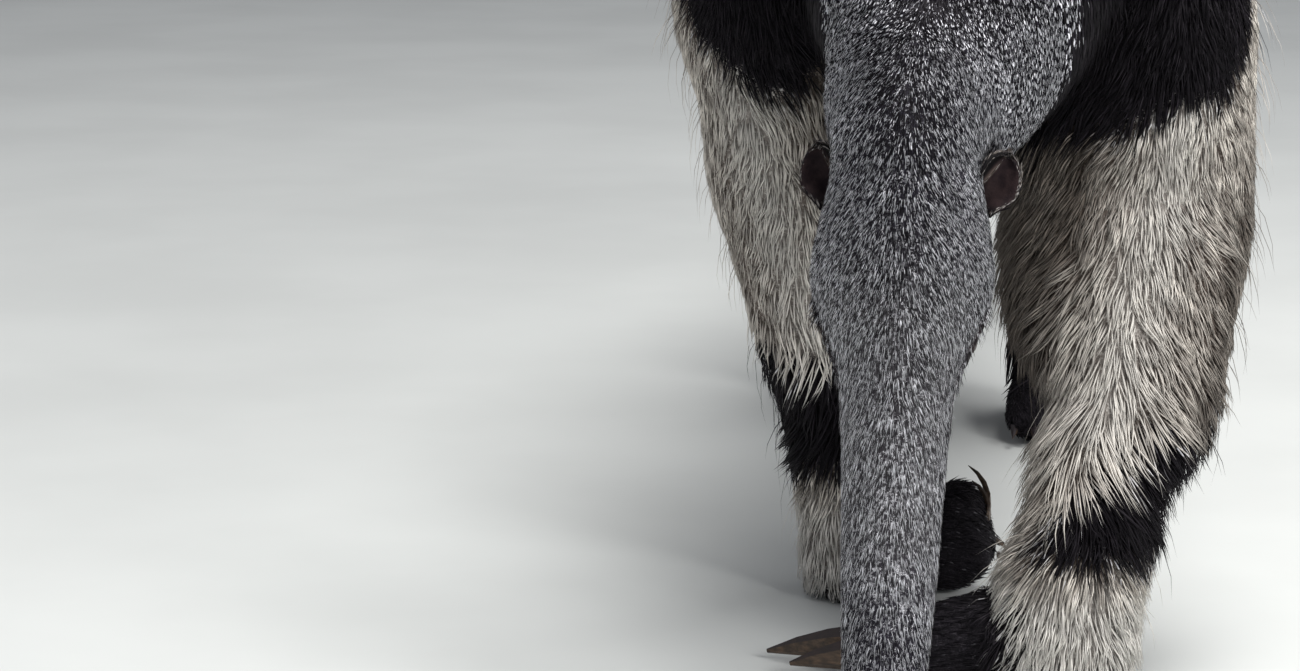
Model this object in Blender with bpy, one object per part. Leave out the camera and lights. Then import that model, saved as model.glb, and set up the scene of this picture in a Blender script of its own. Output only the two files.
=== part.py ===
"""A life-size giant anteater, standing in mid-step with its head lowered to the floor.

Metres, +Z up. The animal faces -Y and its left side is at +X. Every piece is built round the point on the
floor under the shoulders, and one empty then moves the whole animal so that its bounding box stands centred on
the origin. The left hand is forward, the right hand and the right hind foot are back.
"""

import math
import random
from collections import namedtuple

import bmesh
import bpy
from mathutils import Matrix, Vector
from mathutils.bvhtree import BVHTree

# Driving dimensions
GAP = 0.0003  # clearance between touching pieces
SNOUT_TO_EAR = 0.325
HEAD_PITCH = 70.0  # degrees of the head's axis above the floor
NOSE_TIP = (-0.0376, -0.3727, 0.030)
EYE_FROM_TIP = 0.236
EYE_RADIUS = 0.0085
EAR_LENGTH = 0.040
BACK_HEIGHT = 0.595
CLAW_FLATNESS = 0.50  # width over depth of a hand's claw
FRAME_SHIFT = (-0.001, -0.597, 0.0)  # moves the animal so that its box is centred on the origin

# One cross-section of a body part: its centre, its half width, and its reach above and below the centre.
# On a limb, which runs down, "up" is the reach to the rear and "down" the reach to the front.
Ring = namedtuple("Ring", "x y z side up down")

# A field of locks on a body part: the stretch of the part it covers, as shares of its length; the angles it
# covers round the part, in degrees from the left side towards the dorsal line; its rows and the locks in each;
# a lock's length, width, thickness at the root, lift off the coat in degrees, and fall, from 0 along the part
# to 1 straight down. The locks of a crest stand on edge and the others lie flat.
Field = namedtuple(
    "Field", "start end low high rows across length width thick lift fall on_edge", defaults=(False,)
)

# A folded hand: how far the knuckles lie inwards of the wrist and behind it, how high the long claws leave them,
# how deep in them their roots lie and how steeply they rise, where they curl to and by how many degrees, and the
# longest claw's length and half its depth.
Fold = namedtuple("Fold", "reach turn_back lift inset rise curl_to curl claw_length claw_depth")
LEFT_HAND = Fold(0.090, 0.004, -0.004, 0.014, 0.0, (0.1, 0.3, -1.0), 18.0, 0.112, 0.0140)
RIGHT_HAND = Fold(0.086, 0.008, 0.022, 0.003, 3.0, (-1.0, 0.3, -0.2), 80.0, 0.040, 0.0034)

BODY_SIDES = 20
LIMB_SIDES = 14


def head_ring(from_tip, side, up, down):
    """A ring of the head, placed by its distance from the tip of the nose along the head's axis."""
    pitch = math.radians(HEAD_PITCH)
    lean = 0.025
    return Ring(
        NOSE_TIP[0] + from_tip * lean,
        NOSE_TIP[1] + from_tip * math.cos(pitch),
        NOSE_TIP[2] + from_tip * math.sin(pitch),
        side,
        up,
        down,
    )


HEAD = (
    head_ring(0.000, 0.0120, 0.0125, 0.0120),
    head_ring(0.006, 0.0180, 0.0185, 0.0175),
    head_ring(0.020, 0.0218, 0.0225, 0.0205),
    head_ring(0.067, 0.0246, 0.0256, 0.0233),
    head_ring(0.110, 0.0268, 0.0282, 0.0260),
    head_ring(0.154, 0.0286, 0.0315, 0.0290),
    head_ring(0.200, 0.0308, 0.0360, 0.0335),
    head_ring(0.222, 0.0350, 0.0395, 0.0370),
    head_ring(0.245, 0.0445, 0.0435, 0.0405),
    head_ring(0.268, 0.0508, 0.0470, 0.0440),
    head_ring(0.295, 0.0480, 0.0500, 0.0480),
    head_ring(SNOUT_TO_EAR, 0.0430, 0.0530, 0.0520),
    head_ring(0.342, 0.0455, 0.0550, 0.0540),
    Ring(-0.0255, -0.238, 0.362, 0.0540, 0.0590, 0.0570),
)
NECK = (
    Ring(-0.020, -0.205, 0.373, 0.0625, 0.0660, 0.0630),
    Ring(-0.012, -0.160, 0.390, 0.0715, 0.0830, 0.0780),
    Ring(-0.006, -0.105, 0.412, 0.0830, 0.1020, 0.0960),
    Ring(-0.002, -0.045, 0.434, 0.0980, 0.1230, 0.1160),
)
TORSO = (
    Ring(0.0, 0.010, 0.450, 0.1130, 0.1340, 0.1380),
    Ring(0.0, 0.090, 0.452, 0.1180, BACK_HEIGHT - 0.452, 0.1440),
    Ring(0.0, 0.190, 0.450, 0.1180, BACK_HEIGHT - 0.450, 0.1450),
    Ring(0.0, 0.310, 0.450, 0.1190, 0.1400, 0.1430),
    Ring(0.0, 0.430, 0.450, 0.1180, 0.1370, 0.1330),
    Ring(0.0, 0.540, 0.448, 0.1140, 0.1320, 0.1180),
    Ring(0.0, 0.630, 0.443, 0.1030, 0.1180, 0.0980),
    Ring(0.0, 0.710, 0.432, 0.0830, 0.0940, 0.0780),
    Ring(0.0, 0.770, 0.418, 0.0590, 0.0680, 0.0590),
)
TAIL = (
    Ring(0.0, 0.830, 0.404, 0.0460, 0.0520, 0.0620),
    Ring(0.0, 0.930, 0.384, 0.0410, 0.0460, 0.0820),
    Ring(0.0, 1.050, 0.358, 0.0370, 0.0410, 0.0920),
    Ring(0.0, 1.170, 0.332, 0.0320, 0.0360, 0.0880),
    Ring(0.0, 1.280, 0.308, 0.0260, 0.0290, 0.0700),
    Ring(0.0, 1.370, 0.290, 0.0180, 0.0200, 0.0420),
    Ring(0.0, 1.420, 0.280, 0.0080, 0.0090, 0.0140),
)
LEFT_ARM = (
    Ring(0.040, 0.045, 0.540, 0.030, 0.046, 0.040),
    Ring(0.083, 0.038, 0.480, 0.053, 0.073, 0.071),
    Ring(0.106, 0.028, 0.410, 0.062, 0.077, 0.078),
    Ring(0.110, 0.025, 0.340, 0.065, 0.073, 0.070),
    Ring(0.106, 0.020, 0.285, 0.0685, 0.070, 0.062),
    Ring(0.102, -0.005, 0.233, 0.0665, 0.064, 0.056),
    Ring(0.101, -0.035, 0.172, 0.0530, 0.050, 0.047),
    Ring(0.089, -0.060, 0.135, 0.0425, 0.041, 0.040),
    Ring(0.082, -0.078, 0.103, 0.0395, 0.038, 0.038),
    Ring(0.068, -0.090, 0.060, 0.0440, 0.041, 0.043),
    Ring(0.064, -0.094, 0.025, 0.0450, 0.042, 0.046),
    Ring(0.064, -0.094, -0.012, 0.0400, 0.036, 0.040),
)
RIGHT_ARM = (
    Ring(-0.040, 0.045, 0.540, 0.030, 0.046, 0.040),
    Ring(-0.083, 0.040, 0.480, 0.053, 0.073, 0.071),
    Ring(-0.104, 0.045, 0.410, 0.062, 0.077, 0.078),
    Ring(-0.106, 0.055, 0.345, 0.064, 0.072, 0.070),
    Ring(-0.102, 0.070, 0.290, 0.0630, 0.067, 0.062),
    Ring(-0.098, 0.086, 0.240, 0.0535, 0.058, 0.054),
    Ring(-0.094, 0.100, 0.190, 0.0440, 0.048, 0.046),
    Ring(-0.084, 0.113, 0.145, 0.0370, 0.040, 0.039),
    Ring(-0.077, 0.121, 0.105, 0.0345, 0.037, 0.036),
    Ring(-0.066, 0.124, 0.060, 0.0380, 0.039, 0.039),
    Ring(-0.062, 0.124, 0.025, 0.0400, 0.040, 0.042),
    Ring(-0.062, 0.124, -0.012, 0.0360, 0.034, 0.036),
)
ELBOW_CUT, WRIST_CUT = 4, 9  # the rings of an arm where it is parted
LEFT_LEG = (
    Ring(0.036, 0.600, 0.520, 0.034, 0.056, 0.060),
    Ring(0.074, 0.598, 0.450, 0.055, 0.080, 0.086),
    Ring(0.091, 0.585, 0.380, 0.060, 0.078, 0.082),
    Ring(0.093, 0.578, 0.310, 0.056, 0.069, 0.069),
    Ring(0.090, 0.588, 0.250, 0.049, 0.056, 0.057),
    Ring(0.086, 0.615, 0.180, 0.042, 0.046, 0.047),
    Ring(0.081, 0.645, 0.115, 0.038, 0.041, 0.041),
    Ring(0.078, 0.662, 0.065, 0.037, 0.041, 0.041),
)
HIND_STEP = 0.080  # how far the right hind foot is behind the left one
KNEE_CUT = 4
FOOT_LENGTH = 0.150
FOOT_HALF_WIDTH = 0.040
HEEL_Y = 0.715  # of the left hind foot
FOOT_X = 0.078

CREST_LOCKS = (Field(0.02, 0.96, 85, 95, 12, 2, 0.105, 0.036, 0.007, 26, 0.0, True),)
FLANK_LOCKS = (
    Field(0.06, 0.94, -8, 60, 5, 3, 0.128, 0.056, 0.007, 7, 0.50),
    Field(0.06, 0.94, 188, 120, 5, 3, 0.128, 0.056, 0.007, 7, 0.50),
)
BELLY_LOCKS = (Field(0.12, 0.86, -125, -55, 5, 2, 0.090, 0.050, 0.007, 17, 0.45),)
NECK_LOCKS = (Field(0.26, 0.90, 88, 92, 3, 2, 0.062, 0.024, 0.006, 20, 0.0, True),)
TAIL_LOCKS = (
    Field(0.02, 0.93, 66, 114, 6, 2, 0.180, 0.048, 0.008, 7, 0.35),
    Field(0.00, 0.90, 12, -28, 6, 2, 0.240, 0.056, 0.008, 11, 0.78),
    Field(0.00, 0.90, 168, 208, 6, 2, 0.240, 0.056, 0.008, 11, 0.78),
    Field(0.00, 0.92, -112, -68, 7, 2, 0.265, 0.058, 0.008, 24, 0.88),
    Field(0.95, 0.99, 0, 300, 1, 6, 0.150, 0.028, 0.008, 12, 0.22),
)


def arm_locks(outer):
    """The locks of a left (outer 0) or right (outer 180) arm, for the upper arm and for the forearm."""
    turn = 1 if outer == 0 else -1
    front, rear = outer - 105 * turn, outer + 80 * turn
    upper = (
        Field(0.36, 0.90, front, rear, 3, 4, 0.066, 0.036, 0.006, 10, 0.0),
        Field(0.60, 0.80, outer + 105 * turn, outer + 105 * turn, 1, 1, 0.060, 0.030, 0.006, 14, 0.0),
    )
    fore = (
        Field(0.06, 0.66, front, rear, 3, 4, 0.056, 0.032, 0.006, 10, 0.0),
        Field(0.06, 0.66, outer + 105 * turn, outer + 140 * turn, 2, 2, 0.062, 0.028, 0.006, 15, 0.0),
    )
    return upper, fore


def leg_locks(outer):
    """The locks of a left or right hind leg, for the thigh and for the shank."""
    turn = 1 if outer == 0 else -1
    thigh = (Field(0.32, 0.90, outer - 80 * turn, outer + 100 * turn, 3, 4, 0.080, 0.042, 0.007, 11, 0.0),)
    shank = (Field(0.06, 0.60, outer - 80 * turn, outer + 120 * turn, 2, 4, 0.062, 0.034, 0.006, 12, 0.0),)
    return thigh, shank


def catmull(a, b, c, d, t):
    """A point between b and c on the smooth curve through four values."""
    return 0.5 * (
        2 * b
        + (c - a) * t
        + (2 * a - 5 * b + 4 * c - d) * t * t
        + (3 * b - a - 3 * c + d) * t**3
    )


def smooth_rings(rings, per_span):
    """The rings with per_span - 1 more between each two, on smooth curves through their numbers."""
    finer = []
    for i in range(len(rings) - 1):
        four = [rings[max(0, min(len(rings) - 1, i + k))] for k in (-1, 0, 1, 2)]
        for step in range(per_span):
            t = step / per_span
            finer.append(Ring(*(catmull(*numbers, t) for numbers in zip(*four))))
    finer.append(rings[-1])
    return finer


def placed(rings):
    """Each ring with its centre and its own axes: (ring, centre, along, across, dorsal)."""
    centres = [Vector(r[:3]) for r in rings]
    result = []
    for i, ring in enumerate(rings):
        along = centres[min(i + 1, len(rings) - 1)] - centres[max(i - 1, 0)]
        along.normalize()
        across = Vector((1, 0, 0)) - along.x * along
        across.normalize()
        result.append((ring, centres[i], along, across, across.cross(along)))
    return result


def ring_points(section, sides, shift=0.0):
    """The corners of one section's outline, moved along the part by shift."""
    ring, centre, along, across, dorsal = section
    points = []
    for i in range(sides):
        angle = 2 * math.pi * i / sides
        reach = ring.up if math.sin(angle) > 0 else ring.down
        points.append(
            centre
            + along * shift
            + across * ring.side * math.cos(angle)
            + dorsal * reach * math.sin(angle)
        )
    return points


def lofted(sections, sides, shift=0.0):
    """A closed bmesh through the sections, its two ends flat. Only the first section is shifted."""
    bm = bmesh.new()
    loops = []
    for i, section in enumerate(sections):
        points = ring_points(section, sides, shift if i == 0 else 0.0)
        loops.append([bm.verts.new(p) for p in points])
    for near, far in zip(loops, loops[1:]):
        for i in range(sides):
            j = (i + 1) % sides
            bm.faces.new((near[i], near[j], far[j], far[i]))
    bm.faces.new(loops[0])
    bm.faces.new(loops[-1])
    bmesh.ops.recalc_face_normals(bm, faces=bm.faces)
    return bm


def add_object(name, bm):
    """A scene object that holds the bmesh in triangles. The bmesh is freed."""
    bmesh.ops.triangulate(bm, faces=bm.faces)
    mesh = bpy.data.meshes.new(name)
    bm.to_mesh(mesh)
    bm.free()
    obj = bpy.data.objects.new(name, mesh)
    bpy.context.scene.collection.objects.link(obj)
    return obj


def tube(name, rings, sides, per_span=2):
    return add_object(name, lofted(placed(smooth_rings(rings, per_span)), sides))


def parted_tube(names, rings, cuts, sides, per_span=2):
    """One smooth tube parted into named lengths at the given rings, each meeting the next flat face to flat face."""
    sections = placed(smooth_rings(rings, per_span))
    ends = [0] + [cut * per_span for cut in cuts] + [len(sections) - 1]
    pieces = []
    for i, name in enumerate(names):
        part = sections[ends[i] : ends[i + 1] + 1]
        pieces.append(add_object(name, lofted(part, sides, GAP if i else 0.0)))
    return pieces


def evaluated_copy(obj):
    graph = bpy.context.evaluated_depsgraph_get()
    return bpy.data.meshes.new_from_object(obj.evaluated_get(graph))


def largest_surface(obj):
    """Keeps only the closed surface with the most faces."""
    bm = bmesh.new()
    bm.from_mesh(obj.data)
    left = set(bm.faces)
    best = []
    while left:
        seed = left.pop()
        island = [seed]
        queue = [seed]
        while queue:
            face = queue.pop()
            for edge in face.edges:
                for other in edge.link_faces:
                    if other in left:
                        left.remove(other)
                        island.append(other)
                        queue.append(other)
        if len(island) > len(best):
            best = island
    kept = set(best)
    loose = [face for face in bm.faces if face not in kept]
    bmesh.ops.delete(bm, geom=loose, context="FACES")
    bm.to_mesh(obj.data)
    bm.free()


def combine(obj, others, operation, solver="MANIFOLD"):
    """One Boolean of the object with all the others, applied. The others are then removed."""
    group = bpy.data.collections.new("operands")
    bpy.context.scene.collection.children.link(group)
    for other in others:
        for holder in list(other.users_collection):
            holder.objects.unlink(other)
        group.objects.link(other)
    modifier = obj.modifiers.new("combine", "BOOLEAN")
    modifier.operation = operation
    modifier.operand_type = "COLLECTION"
    modifier.collection = group
    modifier.solver = solver
    mesh = evaluated_copy(obj)
    obj.modifiers.remove(modifier)
    obj.data = mesh
    mesh.name = obj.name
    for other in others:
        bpy.data.objects.remove(other)
    bpy.data.collections.remove(group)
    largest_surface(obj)


def grown(obj, by=GAP):
    """A copy of the object a little larger all over, to cut its neighbour with."""
    bm = bmesh.new()
    bm.from_mesh(obj.data)
    bmesh.ops.recalc_face_normals(bm, faces=bm.faces)
    bm.normal_update()
    moves = [(v, v.normal * by) for v in bm.verts]
    for vert, move in moves:
        vert.co += move
    return add_object(obj.name + "_grown", bm)


def cut_by(obj, *neighbours):
    for neighbour in neighbours:
        combine(obj, [grown(neighbour)], "DIFFERENCE")


def flat_sole(obj):
    """Cuts off what is under the floor and closes the cut with a flat face."""
    bm = bmesh.new()
    bm.from_mesh(obj.data)
    geom = bm.verts[:] + bm.edges[:] + bm.faces[:]
    cut = bmesh.ops.bisect_plane(
        bm, geom=geom, plane_co=(0, 0, 0), plane_no=(0, 0, 1), clear_inner=True
    )
    rim = [e for e in cut["geom_cut"] if isinstance(e, bmesh.types.BMEdge)]
    bmesh.ops.edgeloop_fill(bm, edges=rim)
    bmesh.ops.recalc_face_normals(bm, faces=bm.faces)
    bm.to_mesh(obj.data)
    bm.free()


def ball(name, centre, sizes, turn=None, segments=14):
    """An ellipsoid with the given half sizes, turned by the matrix turn."""
    bm = bmesh.new()
    bmesh.ops.create_uvsphere(
        bm, u_segments=segments, v_segments=max(6, segments // 2), radius=1.0
    )
    matrix = Matrix.Translation(centre) @ (turn or Matrix.Identity(4))
    bm.transform(matrix @ Matrix.Diagonal((*sizes, 1)))
    return add_object(name, bm)


def arc_tube(name, points, radii, sides=8, flatness=1.0):
    """A tube with flat ends through the points, with a radius at each that flatness narrows sideways."""
    bm = bmesh.new()
    loops = []
    spots = [Vector(p) for p in points]
    for i, spot in enumerate(spots):
        along = spots[min(i + 1, len(spots) - 1)] - spots[max(i - 1, 0)]
        turn = along.to_track_quat("Z", "Y").to_matrix().to_4x4() @ Matrix.Diagonal((flatness, 1, 1, 1))
        made = bmesh.ops.create_circle(
            bm, segments=sides, radius=radii[i], matrix=Matrix.Translation(spot) @ turn
        )
        loops.append(made["verts"])
    for near, far in zip(loops, loops[1:]):
        for i in range(sides):
            j = (i + 1) % sides
            bm.faces.new((near[i], near[j], far[j], far[i]))
    bm.faces.new(loops[0])
    bm.faces.new(loops[-1])
    bmesh.ops.recalc_face_normals(bm, faces=bm.faces)
    return add_object(name, bm)


def head_axes():
    """A matrix whose X is the animal's left, Y is towards the throat and Z runs from the nose to the ears."""
    pitch = math.radians(HEAD_PITCH)
    along = Vector((0.025, math.cos(pitch), math.sin(pitch))).normalized()
    across = (Vector((1, 0, 0)) - along.x * along).normalized()
    throat = along.cross(across)
    turn = Matrix((across, throat, along)).transposed().to_4x4()
    return Matrix.Translation(NOSE_TIP) @ turn


def claw(name, root, out, down, length, radius, curl=75.0, steps=4, sides=6, flatness=1.0):
    """A horn claw that leaves root towards out and curls towards down, tapering to its tip."""
    out = Vector(out).normalized()
    down = (Vector(down) - out * Vector(down).dot(out)).normalized()
    spot = Vector(root)
    points = [spot.copy()]
    for i in range(steps):
        angle = math.radians(curl) * (i + 0.5) / steps
        spot = spot + (out * math.cos(angle) + down * math.sin(angle)) * length / steps
        points.append(spot.copy())
    radii = [radius * (1 - (i / (steps + 0.25)) ** 2.0) for i in range(steps + 1)]
    return arc_tube(name, points, radii, sides, flatness)


def ear(name, side):
    """A small cupped ear whose mouth faces forwards and out. Its root is cut to the head afterwards."""
    rows, columns = 8, 5
    half_width = 0.0150
    cup = 0.0140
    thickness = 0.0030
    bm = bmesh.new()
    loops = []
    for i in range(rows + 1):
        height = i / rows
        wide = half_width * (0.60 + 0.40 * math.sin(math.pi * min(1.0, height * 0.95)))
        if height > 0.5:
            wide *= math.sqrt(max(0.06, 1 - ((height - 0.5) / 0.5) ** 2.6))
        depth = cup * (1 - 0.75 * height**2)
        back, front = [], []
        for j in range(columns + 1):
            across = 2 * j / columns - 1
            bow = depth * (1 - across * across)
            wall = thickness * (0.35 + 0.65 * (1 - across**4)) * (1 - 0.45 * height)
            back.append((across * wide, bow + wall / 2, height * EAR_LENGTH))
            front.append((across * wide * 0.86, bow - wall / 2, height * EAR_LENGTH))
        loops.append([bm.verts.new(p) for p in back + front[::-1]])
    count = len(loops[0])
    for near, far in zip(loops, loops[1:]):
        for i in range(count):
            j = (i + 1) % count
            bm.faces.new((near[i], near[j], far[j], far[i]))
    bm.faces.new(loops[0])
    bm.faces.new(loops[-1])
    bmesh.ops.recalc_face_normals(bm, faces=bm.faces)
    lean_out = Matrix.Rotation(math.radians(24 if side > 0 else -14), 4, "Y")
    face_out = Matrix.Rotation(math.radians(42 * side), 4, "Z")
    root = Matrix.Translation((side * 0.0412, -0.002, SNOUT_TO_EAR - 0.026))
    bm.transform(head_axes() @ root @ lean_out @ face_out)
    return add_object(name, bm)


def eyelid(name, side, upper):
    """A ridge of skin that arches over or under one eye."""
    reach, height = 0.0125, 0.0068
    points = []
    for i in range(6):
        angle = math.pi * (i / 5)
        along = -math.cos(angle) * reach
        lift = math.sin(angle) * height * (1 if upper else -0.9)
        points.append(
            head_axes() @ Vector((side * (EYE_SIDE - 0.0016 * abs(math.cos(angle)) + eye_slope(along)),
                                  EYE_BACK - lift, EYE_FROM_TIP + along))
        )
    radii = [0.0016, 0.0028, 0.0034, 0.0034, 0.0028, 0.0016]
    return arc_tube(name, points, radii, sides=6)


EYE_SIDE = 0.0402  # of the lids' ridges from the head's axis
EYE_BACK = 0.004  # of the eye from the head's axis, towards the throat


def eye_slope(along):
    """How much further out the side of the head is, towards the ears."""
    return 0.40 * along


def make_head(head):
    """Cuts the mouth and nostrils, raises the lids, and seats the eyes and ears."""
    axes = head_axes()
    lids = [
        eyelid(f"lid_{side}_{upper}", side, upper)
        for side in (1, -1)
        for upper in (True, False)
    ]
    combine(head, lids, "UNION")
    cuts = []
    for side in (1, -1):
        turn = Matrix.Rotation(math.radians(35 * side), 4, "Z")
        spot = axes @ Vector((side * 0.0085, -0.0075, 0.0005))
        cuts.append(ball("nostril", spot, (0.0022, 0.0042, 0.0075), axes.to_3x3().to_4x4() @ turn, 10))
    slit = bmesh.new()
    bmesh.ops.create_cube(slit, size=1.0)
    slit.transform(axes @ Matrix.Translation((0, 0.0085, 0.004)) @ Matrix.Diagonal((0.06, 0.0014, 0.030, 1)))
    cuts.append(add_object("mouth_slit", slit))
    combine(head, cuts, "DIFFERENCE")
    eyes = []
    for name, side in (("eye_left", 1), ("eye_right", -1)):
        spot = axes @ Vector((side * (EYE_SIDE - EYE_RADIUS + 0.0020), EYE_BACK, EYE_FROM_TIP))
        eye = ball(name, spot, (EYE_RADIUS,) * 3, segments=10)
        combine(head, [grown(eye)], "DIFFERENCE")
        eyes.append(eye)
    ears = []
    for name, side in (("ear_left", 1), ("ear_right", -1)):
        one = ear(name, side)
        cut_by(one, head)
        ears.append(one)
    return eyes, ears


def make_hand(hand, fore, side, fold):
    """Adds the folded fingers, which point inwards, and the claws beyond them. Returns the claws."""
    ring = LEFT_ARM[-2] if side > 0 else RIGHT_ARM[-2]
    reach, turn_back = fold.reach, fold.turn_back
    knuckle = Vector((ring.x - side * reach, ring.y + turn_back, 0.026))
    middle = Vector((ring.x - side * reach * 0.5, ring.y + turn_back * 0.3 - 0.004, 0.027))
    start = Vector((ring.x, ring.y, 0.028))
    fingers = arc_tube("fingers", [start, middle, knuckle], [0.034, 0.033, 0.025], sides=12)
    combine(hand, [fingers], "UNION")
    flat_sole(hand)
    cut_by(hand, fore)
    claws = []
    label = "left" if side > 0 else "right"
    for number, forward, share in ((1, -0.018, 0.33), (2, -0.007, 0.80), (3, 0.007, 1.00), (4, 0.018, 0.30)):
        is_long = share > 0.5
        root = knuckle + Vector((side * fold.inset, forward, fold.lift if is_long else 0.004))
        out = Vector((-side, 0.25 + forward * 14, fold.rise if is_long else 0.15))
        curl_to = fold.curl_to if is_long else (0, 0.3, -1)
        thick = fold.claw_depth if is_long else min(fold.claw_depth * 0.72, 0.0060)
        length = max(fold.claw_length * share, 0.024)
        steps = 5 if is_long else 3
        one = claw(f"hand_{label}_claw_{number}", root, out, curl_to, length, thick, fold.curl, steps, 6, CLAW_FLATNESS)
        cut_by(one, hand)
        claws.append(one)
    return claws


def make_foot(label, side, back, shank):
    """A flat-soled hind foot with five short claws."""
    heel = HEEL_Y + back
    x = side * FOOT_X
    toe = heel - FOOT_LENGTH
    rings = (
        Ring(x, heel + 0.006, 0.022, 0.016, 0.018, 0.026),
        Ring(x, heel - 0.006, 0.024, 0.029, 0.032, 0.032),
        Ring(x, heel - 0.045, 0.026, 0.036, 0.040, 0.034),
        Ring(x, heel - 0.090, 0.022, FOOT_HALF_WIDTH, 0.030, 0.032),
        Ring(x, toe + 0.022, 0.016, 0.041, 0.020, 0.026),
        Ring(x, toe, 0.013, 0.033, 0.009, 0.020),
    )
    foot = tube(f"foot_{label}", tuple(reversed(rings)), LIMB_SIDES, 1)
    flat_sole(foot)
    cut_by(foot, shank)
    claws = []
    for i in range(5):
        across = (i - 2) * 0.0145
        root = Vector((x + across, toe + 0.014 + abs(i - 2) * 0.004, 0.0155))
        one = claw(
            f"foot_{label}_claw_{i + 1}", root, (across * 4, -1, 0.10), (0, 0, -1), 0.034, 0.0048, 32, 4, 6
        )
        cut_by(one, foot)
        claws.append(one)
    return [foot] + claws


def coat_point(sections, share, angle):
    """The point on a part at a share of its length and an angle round it, its normal, and the way along."""
    spot = share * (len(sections) - 1)
    low = min(int(spot), len(sections) - 2)
    t = spot - low
    near, far = sections[low], sections[low + 1]
    centre, along, across, dorsal = (near[k].lerp(far[k], t) for k in (1, 2, 3, 4))
    side, up, down = (near[0][k] * (1 - t) + far[0][k] * t for k in (3, 4, 5))
    reach = up if math.sin(angle) > 0 else down
    point = centre + across * side * math.cos(angle) + dorsal * reach * math.sin(angle)
    normal = across * math.cos(angle) / side + dorsal * math.sin(angle) / reach
    return point, normal.normalized(), along.normalized()


def lock_mesh(root, normal, lie, field, size, lift, bend):
    """One flat lock of four sides. It leaves the coat at its root, lies down along its fall and tapers to its tip."""
    sink = min(0.010, 0.22 * field.length)
    length = field.length * size
    rise = length * math.sin(lift)
    settled = lie * (1 - field.fall) + Vector((0, 0, -field.fall))
    settled = (settled - normal * min(0.0, settled.dot(normal))).normalized()
    sideways = settled.cross(normal) * bend
    spots = [root - normal * sink]
    for step, height in ((0.30, 0.36), (0.38, 0.76), (0.32, 1.0)):
        share = len(spots) / 3
        heading = (lie * (1 - share) + settled * share + sideways * share).normalized()
        base = spots[-1] + heading * step * length
        spots.append(base + normal * (rise * height - (base - root).dot(normal) * (1 - field.fall * 0.6)))
    bm = bmesh.new()
    loops = []
    for i, (wide, deep) in enumerate(((0.72, 1.0), (1.0, 1.0), (0.70, 0.75))):
        heading = (spots[i + 1] - spots[max(0, i - 1)]).normalized()
        across = heading.cross(normal).normalized()
        if field.on_edge:
            across = across.cross(heading)
        depth = across.cross(heading).normalized() * (field.thick * deep / 2)
        across *= field.width * size * wide / 2
        loops.append([bm.verts.new(spots[i] + v) for v in (across, depth, -across, -depth)])
    tip = bm.verts.new(spots[3])
    for near, far in zip(loops, loops[1:]):
        for i in range(4):
            j = (i + 1) % 4
            bm.faces.new((near[i], near[j], far[j], far[i]))
    for i in range(4):
        bm.faces.new((loops[-1][i], loops[-1][(i + 1) % 4], tip))
    bm.faces.new(loops[0])
    bmesh.ops.triangulate(bm, faces=bm.faces)
    bmesh.ops.recalc_face_normals(bm, faces=bm.faces)
    return bm


def tree_of(obj):
    """A search tree of the object, a little larger all over."""
    larger = grown(obj)
    bm = bmesh.new()
    bm.from_mesh(larger.data)
    tree = BVHTree.FromBMesh(bm)
    bm.free()
    bpy.data.objects.remove(larger)
    return tree


def grow_locks(obj, sections, fields, neighbours=()):
    """Fuses the fields' locks to the object. A lock that would cross a neighbour is lifted, shortened or left out."""
    trees = [tree_of(neighbour) for neighbour in neighbours]
    locks = []
    rng = random.Random(obj.name)
    for field in fields:
        for row in range(field.rows):
            for column in range(field.across):
                along_share = (row + 0.5 * (column % 2)) / max(1, field.rows - 0.5)
                share = field.start + (field.end - field.start) * along_share
                turn_share = column / max(1, field.across - 1) if field.across > 1 else 0.5
                degrees = field.low + (field.high - field.low) * turn_share
                step = abs(field.high - field.low) / max(1, field.across)
                angle = math.radians(degrees + rng.uniform(-0.2, 0.2) * step)
                share = min(0.995, max(0.0, share + rng.uniform(-0.15, 0.15) / max(2, field.rows)))
                point, normal, lie = coat_point(sections, share, angle)
                size = rng.uniform(0.85, 1.12)
                bend = rng.uniform(-0.16, 0.16)
                bm = fitted_lock(point, normal, lie, field, size, bend, trees)
                if bm:
                    locks.append(add_object(f"{obj.name}_lock", bm))
    combine(obj, locks, "UNION")


def fitted_lock(point, normal, lie, field, size, bend, trees):
    """The lock at its own lift and length, or the first lifted or shorter one that is clear of the trees."""
    for shorter in (1.0, 0.85, 0.7, 0.55):
        for more in (0, 8, 16):
            lift = math.radians(field.lift + more)
            bm = lock_mesh(point, normal, lie, field, size * shorter, lift, bend)
            tree = BVHTree.FromBMesh(bm)
            clear = all(v.co.z > 0.003 for v in bm.verts)
            if clear and not any(tree.overlap(other) for other in trees):
                return bm
            bm.free()
    return None


MATERIALS = {
    "grizzled_coat": ((0.23, 0.23, 0.26, 1), 0.75),
    "dark_coat": ((0.03, 0.027, 0.03, 1), 0.7),
    "pale_coat": ((0.55, 0.50, 0.44, 1), 0.8),
    "skin": ((0.12, 0.095, 0.085, 1), 0.6),
    "eye": ((0.02, 0.014, 0.012, 1), 0.15),
    "claw": ((0.30, 0.24, 0.18, 1), 0.4),
}
FINISH_OF = (
    ("eye", "eye"),
    ("ear", "skin"),
    ("hand_left_claw", "claw"),
    ("hand_right_claw", "claw"),
    ("foot_left_claw", "claw"),
    ("foot_right_claw", "claw"),
    ("hand", "pale_coat"),
    ("forearm", "pale_coat"),
    ("upper_arm", "pale_coat"),
    ("foot", "dark_coat"),
    ("shank", "dark_coat"),
    ("thigh", "dark_coat"),
)


def finish_of(name):
    """The material name for a piece. What has no finish of its own wears the grizzled coat."""
    for start, finish in FINISH_OF:
        if name.startswith(start):
            return finish
    return "grizzled_coat"


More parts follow.
